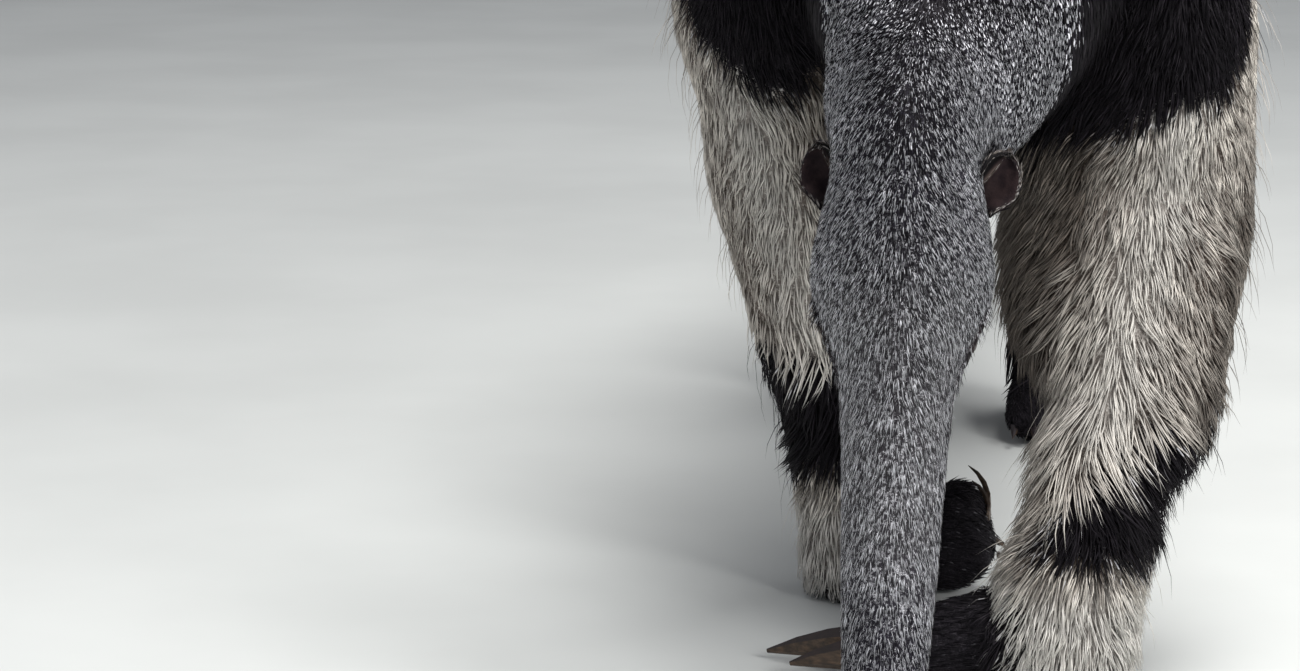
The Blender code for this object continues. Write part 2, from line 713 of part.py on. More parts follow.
def make_materials():
    made = {}
    for name, (colour, roughness) in MATERIALS.items():
        material = bpy.data.materials.new(name)
        material.use_nodes = True
        shader = material.node_tree.nodes["Principled BSDF"]
        shader.inputs["Base Color"].default_value = colour
        shader.inputs["Roughness"].default_value = roughness
        made[name] = material
    return made


def part_sections(rings, first, last, per_span=2):
    """The smoothed sections of the stretch of a tube between two of its rings."""
    return placed(smooth_rings(rings, per_span))[first * per_span : last * per_span + 1]


def make_arm(label, side, rings, torso, neck, fold):
    upper, fore, hand = parted_tube(
        (f"upper_arm_{label}", f"forearm_{label}", f"hand_{label}"),
        rings,
        (ELBOW_CUT, WRIST_CUT),
        LIMB_SIDES,
        1,
    )
    cut_by(upper, torso, neck)
    cut_by(fore, torso)
    claws = make_hand(hand, fore, side, fold)
    upper_fields, fore_fields = arm_locks(0 if side > 0 else 180)
    grow_locks(fore, part_sections(rings, ELBOW_CUT, WRIST_CUT, 1), fore_fields, [upper, hand, torso])
    grow_locks(upper, part_sections(rings, 0, ELBOW_CUT, 1), upper_fields, [fore, torso, neck])
    return [upper, fore, hand] + claws


def make_leg(label, side, back, torso):
    rings = []
    top, low = LEFT_LEG[0].z, LEFT_LEG[-1].z
    for ring in LEFT_LEG:
        share = (top - ring.z) / (top - low)
        rings.append(ring._replace(x=side * ring.x, y=ring.y + back * share))
    thigh, shank = parted_tube(
        (f"thigh_{label}", f"shank_{label}"), rings, (KNEE_CUT,), LIMB_SIDES, 1
    )
    cut_by(thigh, torso)
    cut_by(shank, torso)
    foot = make_foot(label, side, back, shank)
    thigh_fields, shank_fields = leg_locks(0 if side > 0 else 180)
    grow_locks(shank, part_sections(rings, KNEE_CUT, len(rings) - 1, 1), shank_fields, [thigh, torso, foot[0]])
    grow_locks(thigh, part_sections(rings, 0, KNEE_CUT, 1), thigh_fields, [shank, torso])
    return [thigh, shank] + foot


def main():
    for obj in list(bpy.data.objects):
        bpy.data.objects.remove(obj)
    spine = HEAD + NECK + TORSO + TAIL
    neck_cut = len(HEAD) - 1
    torso_cut = neck_cut + len(NECK)
    tail_cut = torso_cut + len(TORSO)
    head, neck, torso, tail = parted_tube(
        ("head", "neck", "torso", "tail"), spine, (neck_cut, torso_cut, tail_cut), BODY_SIDES
    )
    cut_by(neck, head)
    eyes, ears = make_head(head)
    arms = make_arm("left", 1, LEFT_ARM, torso, neck, LEFT_HAND)
    arms += make_arm("right", -1, RIGHT_ARM, torso, neck, RIGHT_HAND)
    legs = make_leg("left", 1, 0.0, torso) + make_leg("right", -1, HIND_STEP, torso)
    grow_locks(tail, part_sections(spine, tail_cut, len(spine) - 1), TAIL_LOCKS, [torso] + legs)
    grow_locks(neck, part_sections(spine, neck_cut, torso_cut), NECK_LOCKS, [head, torso] + ears)
    grow_locks(
        torso,
        part_sections(spine, torso_cut, tail_cut),
        CREST_LOCKS + FLANK_LOCKS + BELLY_LOCKS,
        [neck, tail] + arms + legs,
    )
    frame = bpy.data.objects.new("animal_frame", None)
    bpy.context.scene.collection.objects.link(frame)
    frame.location = FRAME_SHIFT
    materials = make_materials()
    for piece in [head, neck, torso, tail] + eyes + ears + arms + legs:
        piece.parent = frame
        piece.data.materials.clear()
        piece.data.materials.append(materials[finish_of(piece.name)])
        piece.data.shade_smooth()


main()
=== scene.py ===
import copy
import math
import time

import bmesh
import bpy
import numpy as np
from mathutils import Matrix, Vector
from mathutils.bvhtree import BVHTree
from mathutils.kdtree import KDTree


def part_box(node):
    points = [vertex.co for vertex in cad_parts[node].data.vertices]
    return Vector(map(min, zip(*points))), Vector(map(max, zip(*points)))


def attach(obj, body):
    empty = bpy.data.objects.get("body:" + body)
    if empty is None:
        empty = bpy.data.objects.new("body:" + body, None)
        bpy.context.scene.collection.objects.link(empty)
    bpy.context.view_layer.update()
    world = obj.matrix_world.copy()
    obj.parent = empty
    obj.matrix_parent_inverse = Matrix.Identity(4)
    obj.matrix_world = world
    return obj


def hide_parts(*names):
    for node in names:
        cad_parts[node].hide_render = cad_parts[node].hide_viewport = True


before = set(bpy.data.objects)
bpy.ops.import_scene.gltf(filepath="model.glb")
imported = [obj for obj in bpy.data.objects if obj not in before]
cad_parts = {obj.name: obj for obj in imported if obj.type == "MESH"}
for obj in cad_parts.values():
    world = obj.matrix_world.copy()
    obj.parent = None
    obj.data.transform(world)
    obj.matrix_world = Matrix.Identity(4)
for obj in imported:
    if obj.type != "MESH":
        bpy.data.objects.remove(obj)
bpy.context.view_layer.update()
startTime = time.time()

# Everything is measured from the floor under the shoulders, which lie here in the frame of the solids
shoulders = np.array((-0.001, -0.597, 0.0))


def report(stage):
    print(f"[{time.time() - startTime:5.1f} s] {stage}")


def unit(v):
    return v / np.maximum(np.linalg.norm(v, axis=-1, keepdims=True), 1e-9)


def smoothStep(low, high, x):
    t = np.clip((x - low) / (high - low), 0, 1)
    return t * t * (3 - 2 * t)


def hump(x, middle, width):
    # A bell curve that is 1 at its middle
    return np.exp(-(((x - middle) / width) ** 2))


# Camera
cameraSettings = {
    "place": (-0.0045, -2.1285, 0.61),
    "turnDegrees": 5.0,
    "tiltDownDegrees": 11.0,
    "focalPixels": 3500.0,
    "frameWidth": 1300,
}


def addCamera(s):
    data = bpy.data.cameras.new("camera")
    data.sensor_width = 36.0
    data.lens = s["focalPixels"] / s["frameWidth"] * data.sensor_width
    data.clip_end = 60.0
    camera = bpy.data.objects.new("camera", data)
    bpy.context.scene.collection.objects.link(camera)
    camera.location = Vector(s["place"]) + Vector(shoulders)
    turn, tilt = math.radians(s["turnDegrees"]), math.radians(s["tiltDownDegrees"])
    look = Vector((-math.sin(turn) * math.cos(tilt), math.cos(turn) * math.cos(tilt), -math.sin(tilt)))
    camera.rotation_euler = look.to_track_quat("-Z", "Y").to_euler()
    bpy.context.scene.camera = camera


addCamera(cameraSettings)
report("camera")

# Body plan
# One ring per line: x, y, z of its middle, half width, reach above (or behind, on a limb), and reach below
# (or before). The spine's first ring is at the nose and its last at the tip of the tail.
bodySettings = {
    "noseTip": (-0.0376, -0.3727, 0.030),
    "headPitchDegrees": 70.0,
    "headLean": 0.025,
    # distance from the nose, half width, reach to the forehead, reach to the throat
    "headRings": (
        (0.000, 0.0110, 0.0115, 0.0110),
        (0.006, 0.0168, 0.0173, 0.0163),
        (0.020, 0.0206, 0.0212, 0.0193),
        (0.067, 0.0234, 0.0243, 0.0220),
        (0.110, 0.0256, 0.0268, 0.0246),
        (0.154, 0.0273, 0.0300, 0.0275),
        (0.200, 0.0294, 0.0343, 0.0318),
        (0.222, 0.0333, 0.0377, 0.0352),
        (0.245, 0.0427, 0.0416, 0.0386),
        (0.268, 0.0490, 0.0450, 0.0420),
        (0.295, 0.0460, 0.0478, 0.0458),
        (0.325, 0.0405, 0.0505, 0.0495),
        (0.342, 0.0425, 0.0522, 0.0512),
    ),
    "neckRings": (
        (-0.0255, -0.238, 0.362, 0.0495, 0.0555, 0.0535),
        (-0.020, -0.205, 0.373, 0.0565, 0.0620, 0.0590),
        (-0.012, -0.160, 0.390, 0.0650, 0.0780, 0.0735),
        (-0.006, -0.105, 0.412, 0.0755, 0.0965, 0.0910),
        (-0.002, -0.045, 0.434, 0.0905, 0.1170, 0.1100),
        (0.0, 0.010, 0.450, 0.1060, 0.1280, 0.1310),
    ),
    "torsoRings": (
        (0.0, 0.090, 0.452, 0.1105, 0.1370, 0.1370),
        (0.0, 0.190, 0.450, 0.1105, 0.1390, 0.1380),
        (0.0, 0.310, 0.450, 0.1115, 0.1340, 0.1360),
        (0.0, 0.430, 0.450, 0.1105, 0.1310, 0.1260),
        (0.0, 0.540, 0.448, 0.1065, 0.1260, 0.1110),
        (0.0, 0.630, 0.443, 0.0955, 0.1120, 0.0910),
        (0.0, 0.710, 0.432, 0.0760, 0.0880, 0.0710),
        (0.0, 0.770, 0.418, 0.0530, 0.0620, 0.0530),
    ),
    "tailRings": (
        (0.0, 0.830, 0.404, 0.0400, 0.0460, 0.0470),
        (0.0, 0.930, 0.384, 0.0340, 0.0390, 0.0460),
        (0.0, 1.050, 0.358, 0.0290, 0.0330, 0.0420),
        (0.0, 1.170, 0.332, 0.0240, 0.0280, 0.0360),
        (0.0, 1.280, 0.308, 0.0185, 0.0210, 0.0270),
        (0.0, 1.370, 0.290, 0.0120, 0.0140, 0.0170),
        (0.0, 1.420, 0.280, 0.0050, 0.0060, 0.0070),
    ),
    "armLeftRings": (
        (0.040, 0.045, 0.540, 0.028, 0.044, 0.038),
        (0.086, 0.038, 0.480, 0.051, 0.068, 0.066),
        (0.110, 0.028, 0.410, 0.063, 0.071, 0.072),
        (0.111, 0.025, 0.340, 0.066, 0.067, 0.064),
        (0.1055, 0.020, 0.285, 0.0725, 0.064, 0.057),
        (0.101, -0.005, 0.233, 0.070, 0.058, 0.051),
        (0.105, -0.035, 0.172, 0.0515, 0.045, 0.043),
        (0.089, -0.060, 0.135, 0.0375, 0.035, 0.035),
        (0.082, -0.078, 0.103, 0.0350, 0.033, 0.034),
        (0.068, -0.090, 0.060, 0.0405, 0.037, 0.040),
        (0.064, -0.094, 0.025, 0.0425, 0.039, 0.0435),
        (0.064, -0.094, 0.003, 0.0400, 0.036, 0.0410),
    ),
    "armRightRings": (
        (-0.040, 0.045, 0.540, 0.028, 0.044, 0.038),
        (-0.088, 0.040, 0.480, 0.055, 0.068, 0.066),
        (-0.112, 0.045, 0.410, 0.067, 0.071, 0.072),
        (-0.106, 0.055, 0.345, 0.058, 0.066, 0.064),
        (-0.102, 0.070, 0.290, 0.0565, 0.060, 0.056),
        (-0.098, 0.086, 0.240, 0.0470, 0.051, 0.048),
        (-0.094, 0.100, 0.190, 0.0380, 0.042, 0.040),
        (-0.084, 0.113, 0.145, 0.0320, 0.034, 0.034),
        (-0.077, 0.121, 0.105, 0.0300, 0.032, 0.032),
        (-0.066, 0.124, 0.060, 0.0345, 0.035, 0.036),
        (-0.062, 0.124, 0.025, 0.0375, 0.037, 0.039),
        (-0.062, 0.124, 0.003, 0.0350, 0.034, 0.037),
    ),
    "legLeftRings": (
        (0.036, 0.600, 0.520, 0.032, 0.054, 0.058),
        (0.074, 0.598, 0.450, 0.050, 0.075, 0.081),
        (0.091, 0.585, 0.380, 0.054, 0.072, 0.076),
        (0.093, 0.578, 0.310, 0.050, 0.063, 0.063),
        (0.090, 0.588, 0.250, 0.043, 0.050, 0.051),
        (0.086, 0.615, 0.180, 0.036, 0.040, 0.041),
        (0.081, 0.645, 0.115, 0.033, 0.036, 0.036),
        (0.078, 0.665, 0.050, 0.033, 0.037, 0.037),
    ),
    # the left hand's fingers curl inwards: share of the reach, height of the middle, half width
    "handRings": (
        (-0.25, 0.034, 0.020),
        (-0.05, 0.033, 0.029),
        (0.20, 0.032, 0.0315),
        (0.50, 0.030, 0.0305),
        (0.78, 0.027, 0.0265),
        (0.98, 0.024, 0.0205),
        (1.10, 0.022, 0.0110),
    ),
    "hands": {"handLeft": (1, 0.064, -0.092, 0.090), "handRight": (-1, -0.062, 0.130, 0.074)},
    # how much higher the back of each hand rises
    "handRise": {1: 0.0, -1: 0.026},
    "hindStep": 0.080,
    "footX": 0.078,
    "heelY": 0.715,
    # distance from the heel, height of the middle, half width, reach above, reach below
    "footRings": (
        (-0.004, 0.022, 0.014, 0.016, 0.018),
        (0.006, 0.024, 0.026, 0.029, 0.021),
        (0.045, 0.026, 0.033, 0.036, 0.024),
        (0.090, 0.022, 0.037, 0.026, 0.020),
        (0.128, 0.016, 0.038, 0.017, 0.0145),
        (0.148, 0.013, 0.030, 0.008, 0.010),
    ),
}


def headAxes(s):
    # x to the animal's left, y to the throat, z from the nose to the ears
    pitch = math.radians(s["headPitchDegrees"])
    along = Vector((s["headLean"], math.cos(pitch), math.sin(pitch))).normalized()
    across = (Vector((1, 0, 0)) - along.x * along).normalized()
    turn = Matrix((across, along.cross(across), along)).transposed().to_4x4()
    return Matrix.Translation(Vector(s["noseTip"]) + Vector(shoulders)) @ turn


headMatrix = headAxes(bodySettings)


def headRings(s):
    pitch = math.radians(s["headPitchDegrees"])
    x, y, z = s["noseTip"]
    return [
        (x + d * s["headLean"], y + d * math.cos(pitch), z + d * math.sin(pitch), side, up, down)
        for d, side, up, down in s["headRings"]
    ] + list(s["neckRings"])


def legRings(s, side, back):
    rings = s["legLeftRings"]
    top, low = rings[0][2], rings[-1][2]
    return [(side * r[0], r[1] + back * (top - r[2]) / (top - low), *r[2:]) for r in rings]


def footRings(s, side, back):
    x, heel = side * s["footX"], s["heelY"] + back
    return [(x, heel - d, z, w, up, down) for d, z, w, up, down in s["footRings"]]


def handRings(s, side, x, y, reach):
    rings = []
    for share, z, half in s["handRings"]:
        rise = s["handRise"][side] * hump(share, 0.84, 0.30)
        rings.append((x - side * reach * share, y, z, half, half * 0.95 + rise, min(half, z - 0.002)))
    return rings


class Loft:
    # A body part as smooth curves through its rings, read anywhere by share of length and angle
    def __init__(self, name, rings, sideways=(1.0, 0, 0)):
        self.name = name
        self.fine = 8
        rows = np.array(rings, dtype=float)
        rows[:, :3] += shoulders
        count = len(rows)
        spots = np.linspace(0, count - 1, (count - 1) * self.fine + 1)
        low = np.minimum(spots.astype(int), count - 2)
        t = (spots - low)[:, None]
        a, b, c, d = (rows[np.clip(low + k, 0, count - 1)] for k in (-1, 0, 1, 2))
        square, cube = 2 * a - 5 * b + 4 * c - d, 3 * b - a - 3 * c + d
        curve = 0.5 * (2 * b + (c - a) * t + square * t**2 + cube * t**3)
        self.centre = curve[:, :3]
        self.reach = curve[:, 3:]
        self.along = unit(np.gradient(self.centre, axis=0))
        self.across = unit(np.array(sideways) - (self.along @ np.array(sideways))[:, None] * self.along)
        self.dorsal = np.cross(self.across, self.along)
        self.measure()

    def measure(self):
        self.steps = len(self.centre)
        self.shares = np.linspace(0, 1, self.steps)
        stepLength = np.linalg.norm(np.diff(self.centre, axis=0), axis=1)
        self.distance = np.concatenate(([0], np.cumsum(stepLength)))
        girth = 2 * math.pi * self.reach.mean(axis=1)
        self.areaSoFar = np.concatenate(([0], np.cumsum(stepLength * (girth[1:] + girth[:-1]) / 2)))

    def stretchOf(self, name, first, last):
        # The stretch between two of the rings as a loft of its own
        part = copy.copy(self)
        part.name = name
        for key in ("centre", "reach", "along", "across", "dorsal"):
            setattr(part, key, getattr(self, key)[first * self.fine : last * self.fine + 1])
        part.measure()
        return part

    def read(self, share, angle):
        # Points, normals and the ways along and round, at shares of the length and angles in radians
        spot = np.clip(share, 0, 1) * (self.steps - 1)
        low = np.minimum(spot.astype(int), self.steps - 2)
        t = (spot - low)[:, None]
        curves = (self.centre, self.along, self.across, self.dorsal, self.reach)
        centre, along, across, dorsal, reach = (g[low] * (1 - t) + g[low + 1] * t for g in curves)
        cos, sin = np.cos(angle)[:, None], np.sin(angle)[:, None]
        tall = np.where(sin > 0, reach[:, 1:2], reach[:, 2:3])
        wide = reach[:, 0:1]
        point = centre + across * wide * cos + dorsal * tall * sin
        normal = unit(across * cos / wide + dorsal * sin / tall)
        around = unit(-across * wide * sin + dorsal * tall * cos)
        return point, normal, unit(along), around


# The head's stretch of the spine goes on through the neck, which begins at this share of it
headCount, neckCount, torsoCount, tailCount = (
    len(bodySettings[part + "Rings"]) for part in ("head", "neck", "torso", "tail")
)
neckEnd = headCount + neckCount - 1
torsoEnd = neckEnd + torsoCount
neckStart = headCount / neckEnd
spine = Loft("spine", [*headRings(bodySettings), *bodySettings["torsoRings"], *bodySettings["tailRings"]])
lofts = {
    "head": spine.stretchOf("head", 0, neckEnd),
    "torso": spine.stretchOf("torso", neckEnd, torsoEnd),
    "tail": spine.stretchOf("tail", torsoEnd, torsoEnd + tailCount),
    "armLeft": Loft("armLeft", bodySettings["armLeftRings"]),
    "armRight": Loft("armRight", bodySettings["armRightRings"]),
    "legLeft": Loft("legLeft", legRings(bodySettings, 1, 0.0)),
    "legRight": Loft("legRight", legRings(bodySettings, -1, bodySettings["hindStep"])),
    "footLeft": Loft("footLeft", footRings(bodySettings, 1, 0.0)),
    "footRight": Loft("footRight", footRings(bodySettings, -1, bodySettings["hindStep"])),
}
for name, (side, x, y, reach) in bodySettings["hands"].items():
    lofts[name] = Loft(name, handRings(bodySettings, side, x, y, reach), sideways=(0, side, 0))


def linkObject(name, bm):
    mesh = bpy.data.meshes.new(name)
    bm.to_mesh(mesh)
    bm.free()
    piece = bpy.data.objects.new(name, mesh)
    bpy.context.scene.collection.objects.link(piece)
    mesh.shade_smooth()
    return piece


def addLoft(bm, loft, sides=32, every=2):
    # Circles drawn at the loft's sections, shaped to its reaches, then bridged and closed
    edges = []
    for i in [*range(0, loft.steps - 1, every), loft.steps - 1]:
        made = bmesh.ops.create_circle(bm, segments=sides, radius=1.0)["verts"]
        angles = np.array([math.atan2(v.co.y, v.co.x) for v in made])
        points = loft.read(np.full(sides, i / (loft.steps - 1)), angles)[0]
        for vert, point in zip(made, points):
            vert.co = point
        edges.append(list({e for v in made for e in v.link_edges}))
    for near, far in zip(edges, edges[1:]):
        bmesh.ops.bridge_loops(bm, edges=near + far)
    bmesh.ops.holes_fill(bm, edges=edges[0] + edges[-1], sides=0)


# Skin
skinSettings = {
    "voxel": 0.0052,
    "smoothRounds": 5,
    # one swelling at the root of each claw: how far forward, how high, and its size
    "knuckles": (
        (-0.018, 0.026, 0.0100),
        (-0.006, 0.031, 0.0125),
        (0.0075, 0.031, 0.0135),
        (0.019, 0.026, 0.0100),
    ),
    "knucklePast": 0.004,
    "soleHeight": 0.0006,
}


def addKnuckles(bm, s, side, x, y, reach):
    for forward, high, size in s["knuckles"]:
        middle = Vector((x - side * (reach + s["knucklePast"]), y + forward, high)) + Vector(shoulders)
        place = Matrix.Translation(middle) @ Matrix.Diagonal((size, size * 0.85, size * 1.2, 1))
        bmesh.ops.create_icosphere(bm, subdivisions=3, radius=1.0, matrix=place)


def applied(piece, name):
    graph = bpy.context.evaluated_depsgraph_get()
    mesh = bpy.data.meshes.new_from_object(piece.evaluated_get(graph))
    piece.modifiers.clear()
    old = piece.data
    piece.data = mesh
    mesh.name = name
    bpy.data.meshes.remove(old)
    mesh.shade_smooth()
    return piece


def makeSkin(s):
    bm = bmesh.new()
    addLoft(bm, spine)
    for name, loft in lofts.items():
        if name not in ("head", "torso", "tail"):
            addLoft(bm, loft)
    for place in bodySettings["hands"].values():
        addKnuckles(bm, s, *place)
    bmesh.ops.recalc_face_normals(bm, faces=bm.faces)
    skin = linkObject("skin", bm)
    remesh = skin.modifiers.new("remesh", "REMESH")
    remesh.mode = "VOXEL"
    remesh.voxel_size = s["voxel"]
    smooth = skin.modifiers.new("smooth", "SMOOTH")
    smooth.factor = 0.5
    smooth.iterations = s["smoothRounds"]
    return applied(skin, "skin")


skin = makeSkin(skinSettings)
report(f"skin, {len(skin.data.polygons)} faces")

# Face
faceSettings = {
    # where the head ends: from the nose, and in front of the shoulders
    "headLength": 0.36,
    "headFront": 0.20,
    "eyeFromNose": 0.236,
    "eyeBack": 0.004,
    "eyeRadius": 0.0076,
    "eyeOut": 0.0402,
    "lidLong": 0.0105,
    "lidTall": 0.0042,
    # how deep the eye's hollow and the crease around the lids are, and how far lids and brow rise
    "eyeDeep": 0.0060,
    "creaseDeep": 0.0013,
    "lidRise": 0.0024,
    "browRise": 0.0016,
    "foldDeep": 0.0016,
    "foldRise": 0.0009,
    "nostrilOut": 0.0078,
    "nostrilBack": -0.0062,
    "nostrilWide": 0.0030,
    "nostrilTall": 0.0048,
    "nostrilDeep": 0.0075,
    "nostrilRise": 0.0008,
    "mouthBack": 0.0085,
    "mouthDeep": 0.0040,
    "lipRise": 0.0007,
    "lipDeep": 0.0019,
}


def headSpace(points):
    inverse = np.array(headMatrix.inverted())
    return points @ inverse[:3, :3].T + inverse[:3, 3]


def fromHeadSpace(points):
    matrix = np.array(headMatrix)
    return points @ matrix[:3, :3].T + matrix[:3, 3]


def onHead(points, front=faceSettings["headFront"]):
    return (headSpace(points)[:, 2] < faceSettings["headLength"]) & (points[:, 1] < shoulders[1] - front)


def eyeDistance(local, long, tall):
    # How far points in the head's space lie from the eye, in sizes of an oval around it
    a = (local[:, 2] - faceSettings["eyeFromNose"]) / long
    b = (local[:, 1] - faceSettings["eyeBack"]) / tall
    return np.sqrt(a**2 + b**2)


def nearEye(points):
    local = headSpace(points)
    along, back = local[:, 2] - faceSettings["eyeFromNose"], local[:, 1] - faceSettings["eyeBack"]
    return (np.abs(along) < 0.022) & (np.abs(back) < 0.016) & onHead(points)


def refine(piece, test):
    # Splits the faces whose points pass the test, with the joins to the rest kept closed
    bm = bmesh.new()
    bm.from_mesh(piece.data)
    inside = test(np.array([v.co for v in bm.verts]))
    bm.verts.ensure_lookup_table()
    faces = [f for f in bm.faces if all(inside[v.index] for v in f.verts)]
    edges = list({e for f in faces for e in f.edges})
    bmesh.ops.subdivide_edges(bm, edges=edges, cuts=1, use_grid_fill=True, smooth=0.6)
    bmesh.ops.triangulate(bm, faces=[f for f in bm.faces if len(f.verts) > 4])
    bm.to_mesh(piece.data)
    bm.free()
    piece.data.shade_smooth()


def readPoints(piece):
    points = np.empty(len(piece.data.vertices) * 3, dtype=np.float32)
    piece.data.vertices.foreach_get("co", points)
    return points.reshape(-1, 3).astype(float)


def writePoints(piece, points):
    piece.data.vertices.foreach_set("co", points.astype(np.float32).ravel())
    piece.data.update()


def shapeFace(piece, s):
    refine(piece, lambda p: onHead(p, 0.21))
    refine(piece, nearEye)
    refine(piece, lambda p: headSpace(p)[:, 2] < 0.026)
    points = readPoints(piece)
    x, y, z = headSpace(points).T
    headOnly = onHead(points)
    for side in (1, -1):
        here = headOnly & (x * side > 0)
        # the eye's hollow, its raised lids, the crease around them and the brow
        a = (z - s["eyeFromNose"]) / s["lidLong"]
        b = (y - s["eyeBack"]) / s["lidTall"]
        r = np.sqrt(a * a + b * b)
        slope = s["eyeOut"] + 0.40 * (z - s["eyeFromNose"]) - 0.0006
        hollow = 1 - smoothStep(0.62, 0.98, r)
        brow = hump(r, 2.0, 0.35) * smoothStep(0.2, -0.6, b)
        push = hump(r, 1.22, 0.26) * s["lidRise"] + brow * s["browRise"]
        push = push - hump(r, 1.65, 0.16) * s["creaseDeep"] - hollow * s["eyeDeep"]
        flat = (1 - smoothStep(1.0, 2.2, r)) * (slope - x * side) * 0.6
        x = np.where(here, x + side * (push + flat * (r < 2.2)), x)
        # the long fold that runs from the eye's front corner down the snout
        run = s["eyeFromNose"] - 0.012 - z
        line = y - (s["eyeBack"] + 0.10 * run)
        fold = smoothStep(-0.002, 0.006, run) * smoothStep(0.060, 0.02, run)
        groove = s["foldDeep"] * hump(line, 0, 0.0018) - s["foldRise"] * hump(line, -0.0050, 0.0024)
        x = np.where(here, x - side * fold * groove, x)
        # nostril, a comma that opens forwards and outwards
        na = (x * side - s["nostrilOut"]) / s["nostrilWide"]
        nb = (y - s["nostrilBack"]) / s["nostrilTall"]
        hole = np.exp(-((na * na + nb * nb) ** 1.5)) * smoothStep(0.014, 0.004, z)
        rim = np.exp(-((np.sqrt(na * na + nb * nb) - 1.6) ** 2) / 0.18) * smoothStep(0.016, 0.004, z)
        z = np.where(here, z + hole * s["nostrilDeep"] - rim * s["nostrilRise"], z)
    # the small mouth under the tip, with its lips
    reach = smoothStep(0.036, 0.024, z) * headOnly
    tip = reach * (z < 0.006) * smoothStep(0.013, 0.009, np.abs(x))
    z = z + tip * s["mouthDeep"] * hump(y, s["mouthBack"], 0.0013)
    reach = reach * smoothStep(0.002, 0.006, z)
    lips = hump(np.abs(y - s["mouthBack"]), 0.0030, 0.0016) * s["lipRise"]
    x = x + np.sign(x) * reach * (lips - hump(y, s["mouthBack"], 0.0012) * s["lipDeep"])
    moved = fromHeadSpace(np.stack((x, y, z), axis=1))
    writePoints(piece, np.where(headOnly[:, None], moved, points))


def flattenSoles(piece, s):
    points = readPoints(piece)
    points[:, 2] = np.maximum(points[:, 2], s["soleHeight"])
    writePoints(piece, points)


shapeFace(skin, faceSettings)
flattenSoles(skin, skinSettings)
report(f"face shaped, {len(skin.data.polygons)} faces")


def makeEye(name, node):
    # A smooth ball with a low cornea, where the solid eye is
    low, high = (Vector(c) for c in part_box(node))
    out = (headMatrix.to_3x3() @ Vector((1 if name == "eyeLeft" else -1, 0, 0))).normalized()
    bm = bmesh.new()
    bmesh.ops.create_uvsphere(bm, u_segments=36, v_segments=24, radius=1.0)
    for vert in bm.verts:
        ahead = max(0.0, vert.co.normalized().dot(out))
        vert.co *= faceSettings["eyeRadius"] * (1 + 0.06 * smoothStep(0.72, 0.95, ahead))
    bmesh.ops.translate(bm, vec=(low + high) / 2 - out * 0.0004, verts=bm.verts)
    return linkObject(name, bm)


eyePieces = {"eyeLeft": makeEye("eyeLeft", "eye_left"), "eyeRight": makeEye("eyeRight", "eye_right")}


def skinTree(piece):
    mesh = piece.data
    mesh.calc_loop_triangles()
    tris = np.empty(len(mesh.loop_triangles) * 3, dtype=np.int32)
    mesh.loop_triangles.foreach_get("vertices", tris)
    return BVHTree.FromPolygons(readPoints(piece).tolist(), tris.reshape(-1, 3).tolist(), all_triangles=True)


tree = skinTree(skin)

# Markings
markSettings = {
    # the shoulder stripe on the animal's side: y along its lower and upper edges, and z there
    "stripeLower": (
        (-0.20, -0.05, -0.035, -0.015, 0.015, 0.07, 0.18, 0.42),
        (0.25, 0.314, 0.331, 0.375, 0.450, 0.510, 0.560, 0.588),
    ),
    "stripeUpper": ((-0.20, -0.12, -0.03, 0.07, 0.18, 0.42), (0.380, 0.440, 0.535, 0.584, 0.592, 0.594)),
    # the wrist's black band, low and high edge on the outer side, and how fast it narrows inwards
    "bandLow": 0.090,
    "bandHigh": 0.166,
    "bandWedge": 0.95,
    # how far out the band is at its full height, and how far out the fingers reach
    "bandOut": 0.125,
    "fingersOut": 0.040,
    # how far behind the shoulders the rear of each arm begins, left and right
    "armRear": (0.095, 0.105),
    # how far out the ridge down the front of an arm lies, where a painted highlight runs: z, and the distance
    # there
    "ridge": ((0.10, 0.14, 0.23, 0.32, 0.40), (0.074, 0.083, 0.103, 0.128, 0.140)),
}


def stripeMarks(p, wobble, forwardArm):
    # The shoulder stripe, and its two pale borders behind the shoulder
    x, y, z = p.T
    lower = np.interp(y - 0.008 * (x < 0), *markSettings["stripeLower"])
    upper = np.interp(y, *markSettings["stripeUpper"])
    if forwardArm:
        # round the front of the forward arm the edge rises evenly outwards
        slope = 0.326 + 0.27 * (x - 0.047)
        lower = slope + np.maximum(lower - slope, 0) * smoothStep(0.118, 0.150, x)
    inside = smoothStep(-0.010, 0.004, z - lower + wobble) * smoothStep(0.008, -0.006, z - upper + wobble)
    inside = inside * smoothStep(-0.165, -0.12, y) * smoothStep(0.43, 0.40, y)
    edges = hump(z - upper + wobble, 0.016, 0.010) + hump(z - lower + wobble, -0.014, 0.010)
    pale = np.clip(edges, 0, 1) * smoothStep(0.0, 0.10, y) * smoothStep(0.46, 0.38, y)
    return inside, pale * (1 - inside) * 0.85


